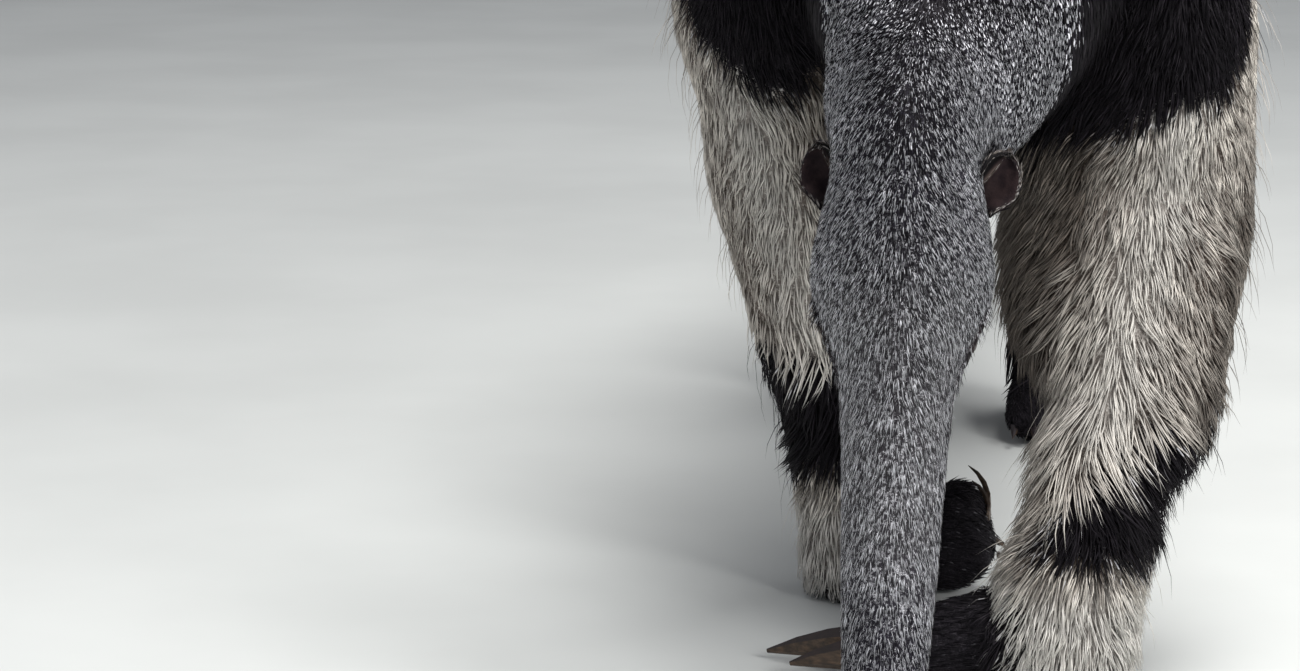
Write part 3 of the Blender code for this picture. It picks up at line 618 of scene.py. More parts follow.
def armMarksAndPaintedLight(p, wobble, black, white):
    s = markSettings
    x, y, z = p.T
    out = np.abs(x)
    back = y - np.where(x > 0, *s["armRear"])
    behind = smoothStep(0.30, 0.36, z) * smoothStep(-0.035, 0.0, back + wobble)
    isArm = smoothStep(0.47, 0.40, z) * (1 - behind)
    # the band above the wrist, the fingers and the sole are black
    wedge = s["bandWedge"] * np.minimum(out - s["bandOut"] + 0.01, 0) * np.where(x > 0, 1, 0.2)
    high = s["bandHigh"] + wedge + 0.014 * (x < 0)
    low = s["bandLow"] - 0.25 * np.minimum(out - s["bandOut"] + 0.02, 0)
    band = smoothStep(-0.006, 0.006, z - low + wobble) * smoothStep(0.006, -0.006, z - high + wobble)
    fingers = smoothStep(-0.006, 0.010, s["fingersOut"] - out) * smoothStep(0.075, 0.055, z)
    dark = np.clip(band + fingers + smoothStep(0.016, 0.006, z) * 0.8, 0, 1)
    # the inner side and the outer rim are browner than the ridge, painted shade, and the rear is browner as
    # well
    off = out - np.interp(z, *s["ridge"])
    shade = smoothStep(-0.018, -0.050, off) * 0.88
    shade = shade + smoothStep(0.032, 0.056, off) * smoothStep(0.35, 0.28, z) * 0.72
    shade = shade * np.where(x > 0, 1.0, 0.75) * smoothStep(0.10, 0.14, z) * isArm
    rear = 0.75 * smoothStep(-0.035, 0.0, back) * smoothStep(0.28, 0.34, z)
    brown = np.maximum(np.maximum(shade, rear), 0.8 * smoothStep(0.40, 0.45, z))
    # a painted highlight runs pale down the ridge at the front of the arm
    ridge = hump(off, 0, 0.020) * smoothStep(0.12, 0.18, z) * isArm
    white = (white + 0.75 * smoothStep(0.085, 0.07, z) + 0.60 * ridge) * (1 - dark)
    return np.clip(black + dark, 0, 1), isArm * (1 - black) * (1 - dark), brown, white


def headMarksAndPaintedShade(points, share, down, black):
    local = headSpace(points)
    x = (points - shoulders)[:, 0]
    isHead = share < neckStart
    head, neck = np.minimum(share / neckStart, 1), np.clip((share - neckStart) / (1 - neckStart), 0, 1)
    # a dark line runs up the forehead and goes on as a broad dark ridge on the neck, painted shade down the
    # middle of both
    midline = hump(local[:, 0], 0, 0.006 + 0.018 * head) * (local[:, 1] < 0) * smoothStep(0.25, 0.5, head)
    midline = midline * (0.45 * hump(head, 0.93, 0.12) + 0.22 * hump(head, 0.72, 0.08) + 0.12)
    ridge = hump(x, 0.06 * neck - 0.027, 0.024 + 0.02 * neck) * smoothStep(0.3, 0.8, down)
    ridge = ridge * (0.62 - 0.12 * smoothStep(0.1, 0.6, neck))
    # the hollow round the eye and the hollow at the ear's root are painted dark, painted shade
    eyeHollowShade = np.exp(-(eyeDistance(local, 0.016, 0.011) ** 2))
    earRootShade = hump(local[:, 2], 0.303, 0.012) * hump(local[:, 1], -0.002, 0.010)
    muzzle, snout = smoothStep(0.10, 0.02, head), smoothStep(0.80, 0.60, head)
    mixed = 0.10 * smoothStep(0.25, 0.7, head) + 0.34 * smoothStep(0.34, 0.16, head)
    mixed = mixed + 0.20 * smoothStep(0.02, 0.2, neck)
    black = np.maximum(black, mixed) + np.where(isHead, midline, ridge) + muzzle * 0.35
    black = np.clip(black + (eyeHollowShade * 0.85 + earRootShade * 0.9) * isHead, 0, 1)
    brown = smoothStep(-0.3, -0.9, down) * 0.6 + muzzle * 0.3 + smoothStep(0.40, -0.1, down) * snout * 0.38
    brown = np.clip(brown + 0.75 * smoothStep(0.94, 1.0, share), 0, 1) * (1 - black)
    white = 0.07 * snout * smoothStep(0.24, 0.36, head) * smoothStep(0.15, 0.6, down)
    return black, brown, white


def marksAndPaintedLight(loftName, points, share, angle):
    # Weights of black, cream, brown and white at each point, with painted shade and painted highlight on the
    # arms and head among them. Where all are 0 the coat is grey.
    p = points - shoulders
    x, y, z = p.T
    wobble = 0.006 * np.sin(x * 61 + z * 43) + 0.004 * np.sin(z * 117 + y * 89)
    black, cream, brown, white = (np.zeros(len(p)) for _ in range(4))
    down = np.sin(angle)
    if loftName in ("head", "torso", "armLeft", "armRight"):
        black, white = stripeMarks(p, wobble, loftName == "armLeft")
    if loftName.startswith("arm"):
        black, cream, brown, white = armMarksAndPaintedLight(p, wobble, black, white)
    elif loftName == "head":
        black, brown, white = headMarksAndPaintedShade(points, share, down, black)
    elif loftName == "torso":
        brown = 0.80 + smoothStep(-0.2, -0.75, down) * 0.12 + smoothStep(0.35, 0.7, y) * 0.08
        brown = brown * (1 - 0.6 * white)
        black = np.clip(black + smoothStep(-0.45, -0.95, down) * 0.75 * smoothStep(-0.1, 0.1, y), 0, 1)
    elif loftName == "tail":
        brown = brown + 0.88
        black = smoothStep(0.2, -0.8, down) * 0.35
    elif loftName.startswith("ear"):
        black, brown = black + 0.45, brown + 0.8
        white = 0.12 * smoothStep(0.9, 1.0, np.abs(angle))
    elif loftName.startswith("hand"):
        black, brown = black + 0.96, brown + 0.04
    else:
        black = smoothStep(0.43, 0.32, z + wobble * 2) * 0.99
        brown = 0.80 * (1 - black)
    return np.stack((black, cream, np.clip(brown, 0, 1), np.clip(white, 0, 1)), axis=1)


# Coat
# A field is one stretch of coat. It has strands per square metre, their length, width, rings and lift in
# degrees, and how much neighbours differ. Its lie is a turn in degrees away from the way along the part, or a
# way of its own at each place. Length, lift and lie may depend on where along and round the part the root is.
strandSettings = {
    "rootWidth": 0.7,
    "tipWidth": 0.35,
    "thickness": 0.45,
    "sunkRoot": 0.0006,
    "lowestPoint": 0.0008,
    "bandLength": 0.0060,
    "fewestBands": 0.4,
    "mostBands": 2.4,
    # the patch of a strand on the unwrap: half its width, and its whole length
    "patchWide": 0.0014,
    "patchLong": 0.0029,
}
mostStretch = 1.8
tilesAcross = 4
tileOf = {name: divmod(i, tilesAcross)[::-1] for i, name in enumerate(lofts)}


def valueOf(roots, value):
    return value(roots["share"], roots["angle"]) if callable(value) else value


def dot(a, b):
    return np.sum(a * b, axis=1)[:, None]


def halton(count, offset):
    i = np.arange(count) + offset
    return np.mod(i * 0.7548776662466927, 1.0), np.mod(i * 0.5698402909980532, 1.0)


def snapped(point, normal, limit):
    # The nearest places on the skin, what way they face, and which of them serve
    keep = np.zeros(len(point), dtype=bool)
    spots, normals = np.zeros((2, len(point), 3))
    for i, p in enumerate(point):
        spot, facing, _, _ = tree.find_nearest(p, limit)
        if spot is not None and facing.dot(Vector(normal[i])) > 0.15:
            keep[i] = True
            spots[i] = spot
            normals[i] = facing
    return spots[keep], normals[keep], keep


def rootsOn(loft, field, seed):
    areaLow, areaHigh = np.interp(field.get("shares", (0.0, 1.0)), loft.shares, loft.areaSoFar)
    turnLow, turnHigh = field.get("angles", (0.0, 360.0))
    part = (turnHigh - turnLow) / 360.0
    density = field["density"] * 1.0
    count = int((areaHigh - areaLow) * part * density * mostStretch)
    u, v = halton(count, seed * 97 + 13)
    local = np.random.default_rng(seed)
    share = np.interp(areaLow + u * (areaHigh - areaLow), loft.areaSoFar, loft.shares)
    angle = np.radians(turnLow + v * (turnHigh - turnLow))
    point, normal, along, around = loft.read(share, angle)
    # where the part bends, its outer side is longer than its middle and takes more roots
    step = 0.004
    ahead = np.linalg.norm(loft.read(np.minimum(share + step, 1), angle)[0] - point, axis=1)
    near, far = (np.interp(at, loft.shares, loft.distance) for at in (share, share + step))
    stretch = np.clip(ahead / np.maximum(far - near, 1e-6), 0.3, mostStretch) / mostStretch
    chance = stretch * field.get("thin", lambda p, s: 1.0)(point - shoulders, share)
    drawn = np.flatnonzero(local.random(count) < chance)
    spot, facing, keep = snapped(point[drawn], normal[drawn], field.get("snap", 0.009))
    kept = drawn[keep]
    roots = {"loft": loft, "spot": spot, "normal": unit(facing), "random": local.random((len(spot), 6))}
    roots.update(along=along[kept], around=around[kept], share=share[kept], angle=angle[kept])
    return roots


def waves(points, size, seed):
    # Smooth noise between about -1 and 1 whose swells are about that size apart
    local = np.random.default_rng(seed)
    total = np.zeros(len(points))
    for _ in range(6):
        way = unit(local.normal(size=3)) * local.uniform(0.6, 1.5) * 2 * math.pi / size
        total += np.sin(points @ way + local.uniform(0, 2 * math.pi))
    return total / 2.2


def lieOf(roots, field):
    # The way the hair lies, with slow swells and a little scatter
    normal = roots["normal"]
    swell = waves(roots["spot"], field.get("flowSize", 0.06), 11) * field.get("flow", 6.0)
    turn = np.radians(swell + field.get("scatter", 8.0) * (roots["random"][:, 0] - 0.5) * 2)
    if "toward" in field:
        lie = field["toward"](roots["spot"] - shoulders, normal)
        lie = unit(lie - normal * dot(lie, normal))
        return lie * np.cos(turn)[:, None] + np.cross(normal, lie) * np.sin(turn)[:, None]
    turn = np.radians(valueOf(roots, field["lie"])) + turn
    sideways = np.where(np.cos(roots["angle"]) > 0, -1.0, 1.0)
    around = roots["around"] * sideways[:, None]
    lie = roots["along"] * np.cos(turn)[:, None] + around * np.sin(turn)[:, None]
    return unit(lie - normal * dot(lie, normal))


def centreLines(roots, field):
    # The middle of each strand from root to tip, before clumping
    rings = field.get("rings", 2)
    rand, normal = roots["random"], roots["normal"]
    lie = lieOf(roots, field)
    if "lengthAt" in field:
        length = field["lengthAt"](roots["spot"] - shoulders, normal)
    else:
        length = valueOf(roots, field["length"])
    length = length * (0.72 + 0.56 * rand[:, 1])
    lift = np.radians(valueOf(roots, field["lift"]) * (0.6 + 0.8 * rand[:, 3]))
    settle, fall = field.get("settle", 0.5), field.get("fall", 0.0)
    bend = (rand[:, 4] - 0.5) * field.get("curl", 0.3)
    way = lie * np.cos(lift)[:, None] + normal * np.sin(lift)[:, None]
    # the way in which the tip comes to rest stays just off the skin
    rest = unit(lie * (1 - fall) + np.array((0, 0, -1.0)) * fall)
    rest = unit(rest - normal * (np.minimum(dot(rest, normal), 0.04) - 0.04))
    sideways = unit(np.cross(rest, normal))
    spot = roots["spot"] - normal * strandSettings["sunkRoot"]
    lines = np.empty((len(normal), rings + 1, 3))
    lines[:, 0] = spot
    for k in range(1, rings + 1):
        share = k / rings
        mix = min(1.0, settle * share * 1.6)
        way = unit(way * (1 - mix) + rest * mix + sideways * (bend * share)[:, None])
        spot = spot + way * (length / rings)[:, None]
        lines[:, k] = spot
    return lines


def clumped(lines, roots, field):
    # Draws each strand's tip towards the tip of the nearest guide, and gives each clump a shade of its own
    local = np.random.default_rng(5)
    every = field.get("clumpOf", 1)
    count = len(lines)
    if every <= 1 or count < every * 2:
        return lines, roots["random"][:, 4]
    guides = local.choice(count, count // every, replace=False)
    kd = KDTree(len(guides))
    for k, i in enumerate(guides):
        kd.insert(roots["spot"][i], k)
    kd.balance()
    nearest = np.array([kd.find(p)[1] for p in roots["spot"]])
    mine = lines[guides[nearest]]
    rings = lines.shape[1] - 1
    share = (np.arange(rings + 1) / rings) ** field.get("clumpPower", 1.3)
    pull = field.get("pull", 0.6) * share[None, :, None] * (0.5 + 0.7 * local.random(count))[:, None, None]
    return lines + (mine - lines) * np.clip(pull, 0, 0.95), local.random(len(guides))[nearest]


def strandFaces(rings):
    # A three-sided tube that is closed by one face at the root and by a point at the tip
    faces = [(0, 1, 2)]
    for a in range(0, (rings - 1) * 3, 3):
        for i, j in ((0, 1), (1, 2), (2, 0)):
            faces += [(a + j, a + i, a + 3 + i), (a + j, a + 3 + i, a + 3 + j)]
    a, tip = (rings - 1) * 3, rings * 3
    return np.array(faces + [(a + 1, a, tip), (a + 2, a + 1, tip), (a, a + 2, tip)])


def patchesOf(roots, rings, strand):
    # Each strand's own place on the unwrap, in the tile of its body part
    s = strandSettings
    tile = tileOf[roots["loft"].name]
    u = (tile[0] + 0.02 + 0.96 * np.mod(roots["angle"] / (2 * math.pi), 1.0)) / tilesAcross
    v = (tile[1] + 0.02 + 0.96 * roots["share"]) / tilesAcross
    across = np.tile((-1.0, 0.0, 1.0), rings + 1)[: rings * 3 + 1]
    across[-1] = 0
    patches = (u[:, None] + across[None, :] * s["patchWide"], v[:, None] + (strand - 0.5) * s["patchLong"])
    return np.stack(patches, axis=2).reshape(-1, 2)


def growStrands(roots, field):
    # Closed three-sided strands as arrays: points, triangles, place along the strand, and patch on the unwrap
    s = strandSettings
    count, rings = len(roots["spot"]), field.get("rings", 2)
    size = rings * 3 + 1
    rand, normal = roots["random"], roots["normal"]
    lines, clumpShade = clumped(centreLines(roots, field), roots, field)
    width = field["width"] * (0.75 + 0.5 * rand[:, 2])
    points = np.empty((count, size, 3))
    strand = np.empty((count, size))
    profile = np.interp(np.arange(rings) / rings, (0, 0.25, 1), (s["rootWidth"], 1.0, s["tipWidth"]))
    for k in range(rings):
        way = unit(lines[:, k + 1] - lines[:, max(k - 1, 0)])
        flat = unit(np.cross(way, normal)) * (width * profile[k] / 2)[:, None]
        thick = unit(np.cross(flat, way)) * (width * profile[k] * s["thickness"])[:, None]
        for i, side in enumerate((flat, thick, -flat)):
            points[:, k * 3 + i] = lines[:, k] + side
        strand[:, k * 3 : k * 3 + 3] = k / rings
    points[:, -1] = lines[:, -1]
    strand[:, -1] = 1.0
    points[:, :, 2] = np.maximum(points[:, :, 2], s["lowestPoint"])
    marks = marksAndPaintedLight(roots["loft"].name, roots["spot"], roots["share"], roots["angle"])
    lengths = np.linalg.norm(np.diff(lines, axis=1), axis=2).sum(axis=1)
    bands = np.clip(lengths / field.get("bandLength", s["bandLength"]), s["fewestBands"], s["mostBands"])
    perHair = np.repeat(np.stack((rand[:, 5], clumpShade, bands), axis=1), size, axis=0)
    firstPoint = (np.arange(count) * size)[:, None, None]
    return {
        "points": points.reshape(-1, 3),
        "faces": (strandFaces(rings)[None] + firstPoint).reshape(-1, 3),
        "strand": np.column_stack((strand.ravel(), perHair)),
        "patch": patchesOf(roots, rings, strand),
        "marks": np.repeat(marks, size, axis=0),
        "rootMarks": marks,
        "rootSpots": roots["spot"],
    }


def putAttribute(mesh, name, rows):
    made = mesh.attributes.new(name, "FLOAT_COLOR", "POINT")
    made.data.foreach_set("color", rows.astype(np.float32).ravel())


def meshFromArrays(name, groups):
    # One mesh from many strands' arrays
    starts = np.cumsum([0] + [len(g["points"]) for g in groups])
    faces = np.concatenate([g["faces"] + start for g, start in zip(groups, starts)])
    keys = ("points", "strand", "marks", "patch")
    points, strand, marks, patch = (np.concatenate([g[key] for g in groups]) for key in keys)
    mesh = bpy.data.meshes.new(name)
    mesh.vertices.add(len(points))
    mesh.vertices.foreach_set("co", points.astype(np.float32).ravel())
    mesh.loops.add(len(faces) * 3)
    mesh.loops.foreach_set("vertex_index", faces.astype(np.int32).ravel())
    mesh.polygons.add(len(faces))
    mesh.polygons.foreach_set("loop_start", np.arange(len(faces), dtype=np.int32) * 3)
    mesh.update(calc_edges=True)
    mesh.shade_smooth()
    mesh.uv_layers.new(name="OFBake").data.foreach_set("uv", patch[faces.ravel()].astype(np.float32).ravel())
    putAttribute(mesh, "strand", strand)
    putAttribute(mesh, "marks", marks)
    piece = bpy.data.objects.new(name, mesh)
    bpy.context.scene.collection.objects.link(piece)
    return piece


def grow(loftName, seed, **field):
    return growStrands(rootsOn(lofts[loftName], field, seed), field)


# Ears
earSettings = {
    "halfWidth": 0.0132,
    "height": 0.033,
    "cup": 0.0130,
    "wall": 0.0024,
    "root": (0.0412, -0.002, 0.306),
    "leanOutDegrees": {1: 24.0, -1: 14.0},
    "faceOutDegrees": 42.0,
    "foldHeight": 0.0028,
    "rimRoll": 0.0030,
}


def earPlace(s, side):
    x, y, z = s["root"]
    lean = Matrix.Rotation(math.radians(s["leanOutDegrees"][side] * side), 4, "Y")
    face = Matrix.Rotation(math.radians(s["faceOutDegrees"] * side), 4, "Z")
    return headMatrix @ Matrix.Translation((side * x, y, z)) @ lean @ face


def foldPlace(high):
    return -0.24 + 0.22 * high


class EarCup:
    # The ear as a surface: across from rim to rim, and up from root to tip
    def __init__(self, name, s, side):
        self.name, self.s, self.side = name, s, side
        self.matrix = np.array(earPlace(s, side))

    def place(self, across, high):
        s = self.s
        wide = s["halfWidth"] * (0.42 + 0.58 * smoothStep(0.02, 0.52, high))
        tip = np.clip((high - 0.5) / 0.5, 0, 1)
        wide = wide * np.sqrt(np.maximum(0.03, 1 - tip**2.6))
        depth = s["cup"] * (1 - 0.75 * high**2)
        roll = s["rimRoll"] * across**4 * np.sin(np.pi * high)
        # a low fold runs up the inside, nearer the head than the outer rim
        fold = s["foldHeight"] * hump(across * self.side, foldPlace(high), 0.13) * np.sin(np.pi * high)
        deep = depth * (1 - across**2) - roll - fold
        local = np.stack((across * wide, deep, high * s["height"]), axis=-1)
        return local @ self.matrix[:3, :3].T + self.matrix[:3, 3]

    def read(self, across, high):
        # A place on the ear, the way it faces, and the ways up and across
        up = unit(self.place(across, high + 0.02) - self.place(across, high - 0.02))
        beside = unit(self.place(across + 0.02, high) - self.place(across - 0.02, high))
        return self.place(across, high), unit(np.cross(up, beside)), up, beside


ears = {"earLeft": EarCup("earLeft", earSettings, 1), "earRight": EarCup("earRight", earSettings, -1)}
firstEarTile = 12
tileOf.update({name: divmod(i, tilesAcross)[::-1] for i, name in enumerate(ears, firstEarTile)})


def makeEar(name, ear, s):
    bm = bmesh.new()
    bmesh.ops.create_grid(bm, x_segments=16, y_segments=22, size=1.0)
    for vert in bm.verts:
        across, high = vert.co.x, (vert.co.y + 1) / 2
        vert.co = ear.place(np.array(across), np.array(high))
    bmesh.ops.recalc_face_normals(bm, faces=bm.faces)
    bmesh.ops.solidify(bm, geom=bm.faces[:], thickness=s["wall"])
    bmesh.ops.recalc_face_normals(bm, faces=bm.faces)
    piece = linkObject(name, bm)
    rounded = piece.modifiers.new("rounded", "SUBSURF")
    rounded.levels = rounded.render_levels = 1
    return applied(piece, name)


earPieces = {name: makeEar(name, ear, earSettings) for name, ear in ears.items()}
report("ears")


def growEar(name, seed, **field):
    # Hair on the back of the ear where it faces 1, and inside the cup and over the rim where it faces -1
    ear = ears[name]
    local = np.random.default_rng(seed)
    count = int(field["count"] * (1))
    high = local.random(count) ** 0.8 * 0.99
    across = (local.random(count) * 2 - 1) * field["reach"]
    if field.get("rim"):
        across = np.sign(across) * (0.90 + 0.10 * local.random(count))
    here, normal, up, beside = ear.read(across, high)
    away = normal * field["facing"]
    roots = {"loft": ear, "spot": here + away * earSettings["wall"] * field.get("stand", 0.0), "normal": away}
    roots.update(along=up, around=beside, share=high, angle=across, random=local.random((count, 6)))
    return growStrands(roots, field)


# Stretches of coat, from the nose to the tail
def headLength(share, angle):
    onNeck = smoothStep(neckStart, 1.05, share) ** 1.6
    return 0.0078 + 0.0026 * np.minimum(share / neckStart, 1) + 0.030 * onNeck


def headLift(share, angle):
    # The coat parts over the withers, where it stands up
    return 20 + 16 * smoothStep(0.93, 1.0, share)


def headThin(p, share):
    # No strands on the eyes, in the nostrils or over the very tip
    local = headSpace(p + shoulders)
    bare = smoothStep(0.95, 1.25, eyeDistance(local, 0.0130, 0.0085)) * smoothStep(0.012, 0.030, local[:, 2])
    return np.where(share < neckStart, bare, 1.0)


def headLie(share, angle):
    # Towards the nose and out from the midline
    spread = 14 + 30 * smoothStep(0.1 * neckStart, 0.9 * neckStart, share) + 60 * smoothStep(0.80, 1.0, share)
    return 180 - spread * np.abs(np.cos(angle)) ** 0.5


def armToward(p, normal):
    # Down, out from the ridge, and across the wrist to the outer side
    x, _, z = p.T
    front = np.clip(-normal[:, 1], 0, 1)
    offset = np.clip((np.abs(x) - np.interp(z, *markSettings["ridge"])) / 0.035, -1, 1)
    outward = offset * 0.55 * front + smoothStep(0.20, 0.14, z) * smoothStep(0.10, 0.13, z) * 0.5 * front
    sideways = np.where(x > 0, outward, -outward)
    return unit(np.stack((sideways, 0.30 * np.abs(normal[:, 0]), np.full(len(p), -1.0)), axis=1))


def armLength(p, normal):
    # Short curls on the outer side, longer on the inner side, and long locks above the wrist
    outward = normal[:, 0] * np.where(p[:, 0] > 0, 1.0, -1.0)
    inner = smoothStep(0.1, 0.8, -outward) * smoothStep(0.18, 0.22, p[:, 2])
    locks = smoothStep(0.215, 0.155, p[:, 2])
    return (0.0205 + 0.013 * inner + 0.017 * locks) * (1 - 0.22 * smoothStep(0.2, 0.8, outward))


def cuffLength(p, normal):
    return 0.021 + 0.007 * smoothStep(0.02, 0.05, p[:, 2])


def strayLength(p, normal):
    return 0.030 + 0.012 * np.clip(np.abs(normal[:, 0]), 0, 1)


def legLength(share, angle):
    return 0.070 - 0.036 * share


def legLie(share, angle):
    return 14 * np.sin(angle)


def rising(share):
    # Neck hair grows into body hair over the first stretch of the back
    return 0.55 + 0.45 * smoothStep(0.0, 0.14, share)


def bodyLie(share, angle):
    return 20 + 45 * smoothStep(0.9, -0.2, np.sin(angle))


def bodyLift(share, angle):
    return 13 + 13 * smoothStep(0.08, 0.0, share)


def flankLength(share, angle):
    return (0.058 + 0.025 * share) * rising(share)


def rearLength(share, angle):
    return 0.068 + 0.04 * share


def maneLength(share, angle):
    return (0.074 + 0.043 * share) * rising(share)


def maneLift(share, angle):
    return (50 - 16 * share) * rising(share)


def fringeLength(share, angle):
    # Short under the root of the tail, longest past its middle
    return 0.075 + 0.150 * smoothStep(0.0, 0.45, share) - 0.045 * smoothStep(0.6, 1.0, share)


def plumeLength(share, angle):
    return 0.085 + 0.060 * smoothStep(0.0, 0.4, share)


def plumeLie(share, angle):
    return 26 * np.abs(np.cos(angle)) ** 0.7


def labelOf(name):
    return "coat" + name[0].upper() + name[1:]


coat = {}
headField = dict(length=headLength, lift=headLift, lie=headLie, thin=headThin, scatter=9, flowSize=0.03)
fleckField = dict(density=900000, width=0.00120, rings=1, flow=5, **headField)
napeField = {**fleckField, "density": 440000, "width": 0.0020}
neckField = dict(density=128000, width=0.0019, rings=2, flow=8, **headField)
coat["coatSnout"] = [grow("head", 1, shares=(0.0, 0.43), bandLength=0.020, **fleckField)]
coat["coatForehead"] = [grow("head", 2, shares=(0.43, neckStart), bandLength=0.0095, **fleckField)]
coat["coatNape"] = [grow("head", 3, shares=(neckStart, 0.85), **napeField)]
coat["coatNeck"] = [grow("head", 4, shares=(0.85, 0.998), **neckField)]

shagField = dict(width=0.00115, lift=23, toward=armToward, lengthAt=armLength, rings=2, scatter=10, flow=12)
shagField.update(flowSize=0.045, curl=0.45, fall=0.12, clumpOf=8, pull=0.62)
cuffField = {**shagField, "lift": 27, "scatter": 13, "clumpOf": 7, "pull": 0.6, "lengthAt": cuffLength}
strayField = {**shagField, "width": 0.0006, "lift": 40, "curl": 0.25, "clumpOf": 1, "rings": 3}
strayField["lengthAt"] = strayLength
for name, seed, density in (("armLeft", 10, 192000), ("armRight", 20, 108000)):
    label = labelOf(name)
    coat[label + "Upper"] = [grow(name, seed, density=density, shares=(0.05, 0.42), **shagField)]
    coat[label + "Lower"] = [
        grow(name, seed + 1, density=density * 0.66, shares=(0.42, 0.72), **{**shagField, "rings": 3}),
        grow(name, seed + 2, density=density * 0.8, shares=(0.70, 1.0), **cuffField),
        grow(name, seed + 3, density=4500, shares=(0.15, 0.80), **strayField),
    ]

legField = dict(density=25000, length=legLength, width=0.0026, lift=17, lie=legLie, rings=3)
legField.update(scatter=12, clumpOf=6, pull=0.6, curl=0.5)
footField = dict(density=90000, length=0.011, width=0.0014, lift=18, lie=0, scatter=16)
handField = dict(density=130000, length=0.0090, width=0.0013, lift=16, lie=0, scatter=16)
handField.update(fall=0.2, snap=0.014)
for name, seed in (("legLeft", 30), ("legRight", 35)):
    foot = name.replace("leg", "foot")
    coat[labelOf(name)] = [grow(name, seed, **legField), grow(foot, seed + 1, **footField)]
for name, seed in (("handLeft", 60), ("handRight", 65)):
    coat[labelOf(name)] = [grow(name, seed, **handField)]

sideField = dict(width=0.0026, lift=bodyLift, lie=bodyLie, rings=3, scatter=9, flow=9, flowSize=0.12)
sideField.update(curl=0.3, clumpOf=7, pull=0.6)
maneField = dict(density=30000, length=maneLength, width=0.0026, lift=maneLift, lie=5, rings=4, scatter=9)
maneField.update(clumpOf=8, pull=0.5, settle=0.32, fall=0.08)
witherField = {**sideField, "lift": 34, "scatter": 120, "width": 0.002}
coat["coatTorsoFront"] = [
    grow("torso", 40, density=22000, length=flankLength, shares=(0, 0.5), fall=0.25, **sideField),
    grow("torso", 44, density=40000, length=0.034, shares=(0, 0.03), **witherField),
]
bellyPlace = dict(angles=(215, 325), shares=(0.1, 0.9))
coat["coatTorsoRear"] = [
    grow("torso", 41, density=20500, length=rearLength, shares=(0.5, 1.0), fall=0.3, **sideField),
    grow("torso", 42, angles=(76, 104), shares=(0.0, 0.99), **maneField),
    grow("torso", 43, density=12000, length=0.090, fall=0.4, **bellyPlace, **{**sideField, "lift": 20}),
]

brushField = dict(width=0.0032, rings=4, scatter=9, flow=9, flowSize=0.15, curl=0.4)
brushField.update(clumpOf=8, pull=0.55, clumpPower=1.6)
plumeField = dict(density=26000, length=plumeLength, lift=21, lie=plumeLie, fall=0.25, settle=0.45)
fringeField = dict(density=31000, length=fringeLength, lift=19, lie=42, fall=0.62, settle=0.6)
tuftField = dict(density=80000, length=0.125, lift=16, lie=5, fall=0.25)
coat["coatTail"] = [
    grow("tail", 50, angles=(25, 155), **plumeField, **brushField),
    grow("tail", 51, angles=(155, 385), **fringeField, **brushField),
    grow("tail", 52, shares=(0.9, 1.0), **tuftField, **brushField),
]

backField = dict(count=1250, reach=0.98, facing=1, stand=1.0, length=0.0062, width=0.0010, lift=12, lie=0)
rimField = dict(count=300, reach=1.0, rim=True, facing=-1, length=0.0032, width=0.0007, lift=14, lie=0)
insideField = dict(count=420, reach=0.94, facing=-1, length=0.0042, width=0.0007, lift=9, lie=0)
earFields = (backField, rimField, insideField)
for name, seed in (("earLeft", 70), ("earRight", 75)):
    coat[labelOf(name)] = [growEar(name, seed + i, **field) for i, field in enumerate(earFields)]
coatPieces = {name: meshFromArrays(name, groups) for name, groups in coat.items()}
total = sum(len(p.data.polygons) for p in coatPieces.values())
report(f"coat, {total} triangles: " + ", ".join(f"{n} {len(p.data.polygons)}" for n, p in coatPieces.items()))


def markSkin(piece):
    # The skin takes the marks of the nearest hair roots, painted shade and painted highlight among them
    spots = np.concatenate([g["rootSpots"] for groups in coat.values() for g in groups])
    marks = np.concatenate([g["rootMarks"] for groups in coat.values() for g in groups])
    kd = KDTree(len(spots))
    for i, p in enumerate(spots):
        kd.insert(p, i)
    kd.balance()
    nearest = np.array([kd.find(p)[1] for p in readPoints(piece)])
    putAttribute(piece.data, "marks", marks[nearest])


markSkin(skin)
report("skin marked")


# Finishes
coatColours = {
    "greyRoot": (0.014, 0.012, 0.020),
    "greyTip": (0.94, 0.94, 1.0),
    "creamRoot": (0.085, 0.062, 0.050),
    "creamTip": (0.92, 0.86, 0.785),
    "brownRoot": (0.022, 0.0165, 0.0135),
    "brownTip": (0.215, 0.175, 0.145),
    "white": (0.84, 0.82, 0.78),
    "black": (0.0075, 0.0062, 0.0085),
    "blackSheen": (0.030, 0.025, 0.032),
}


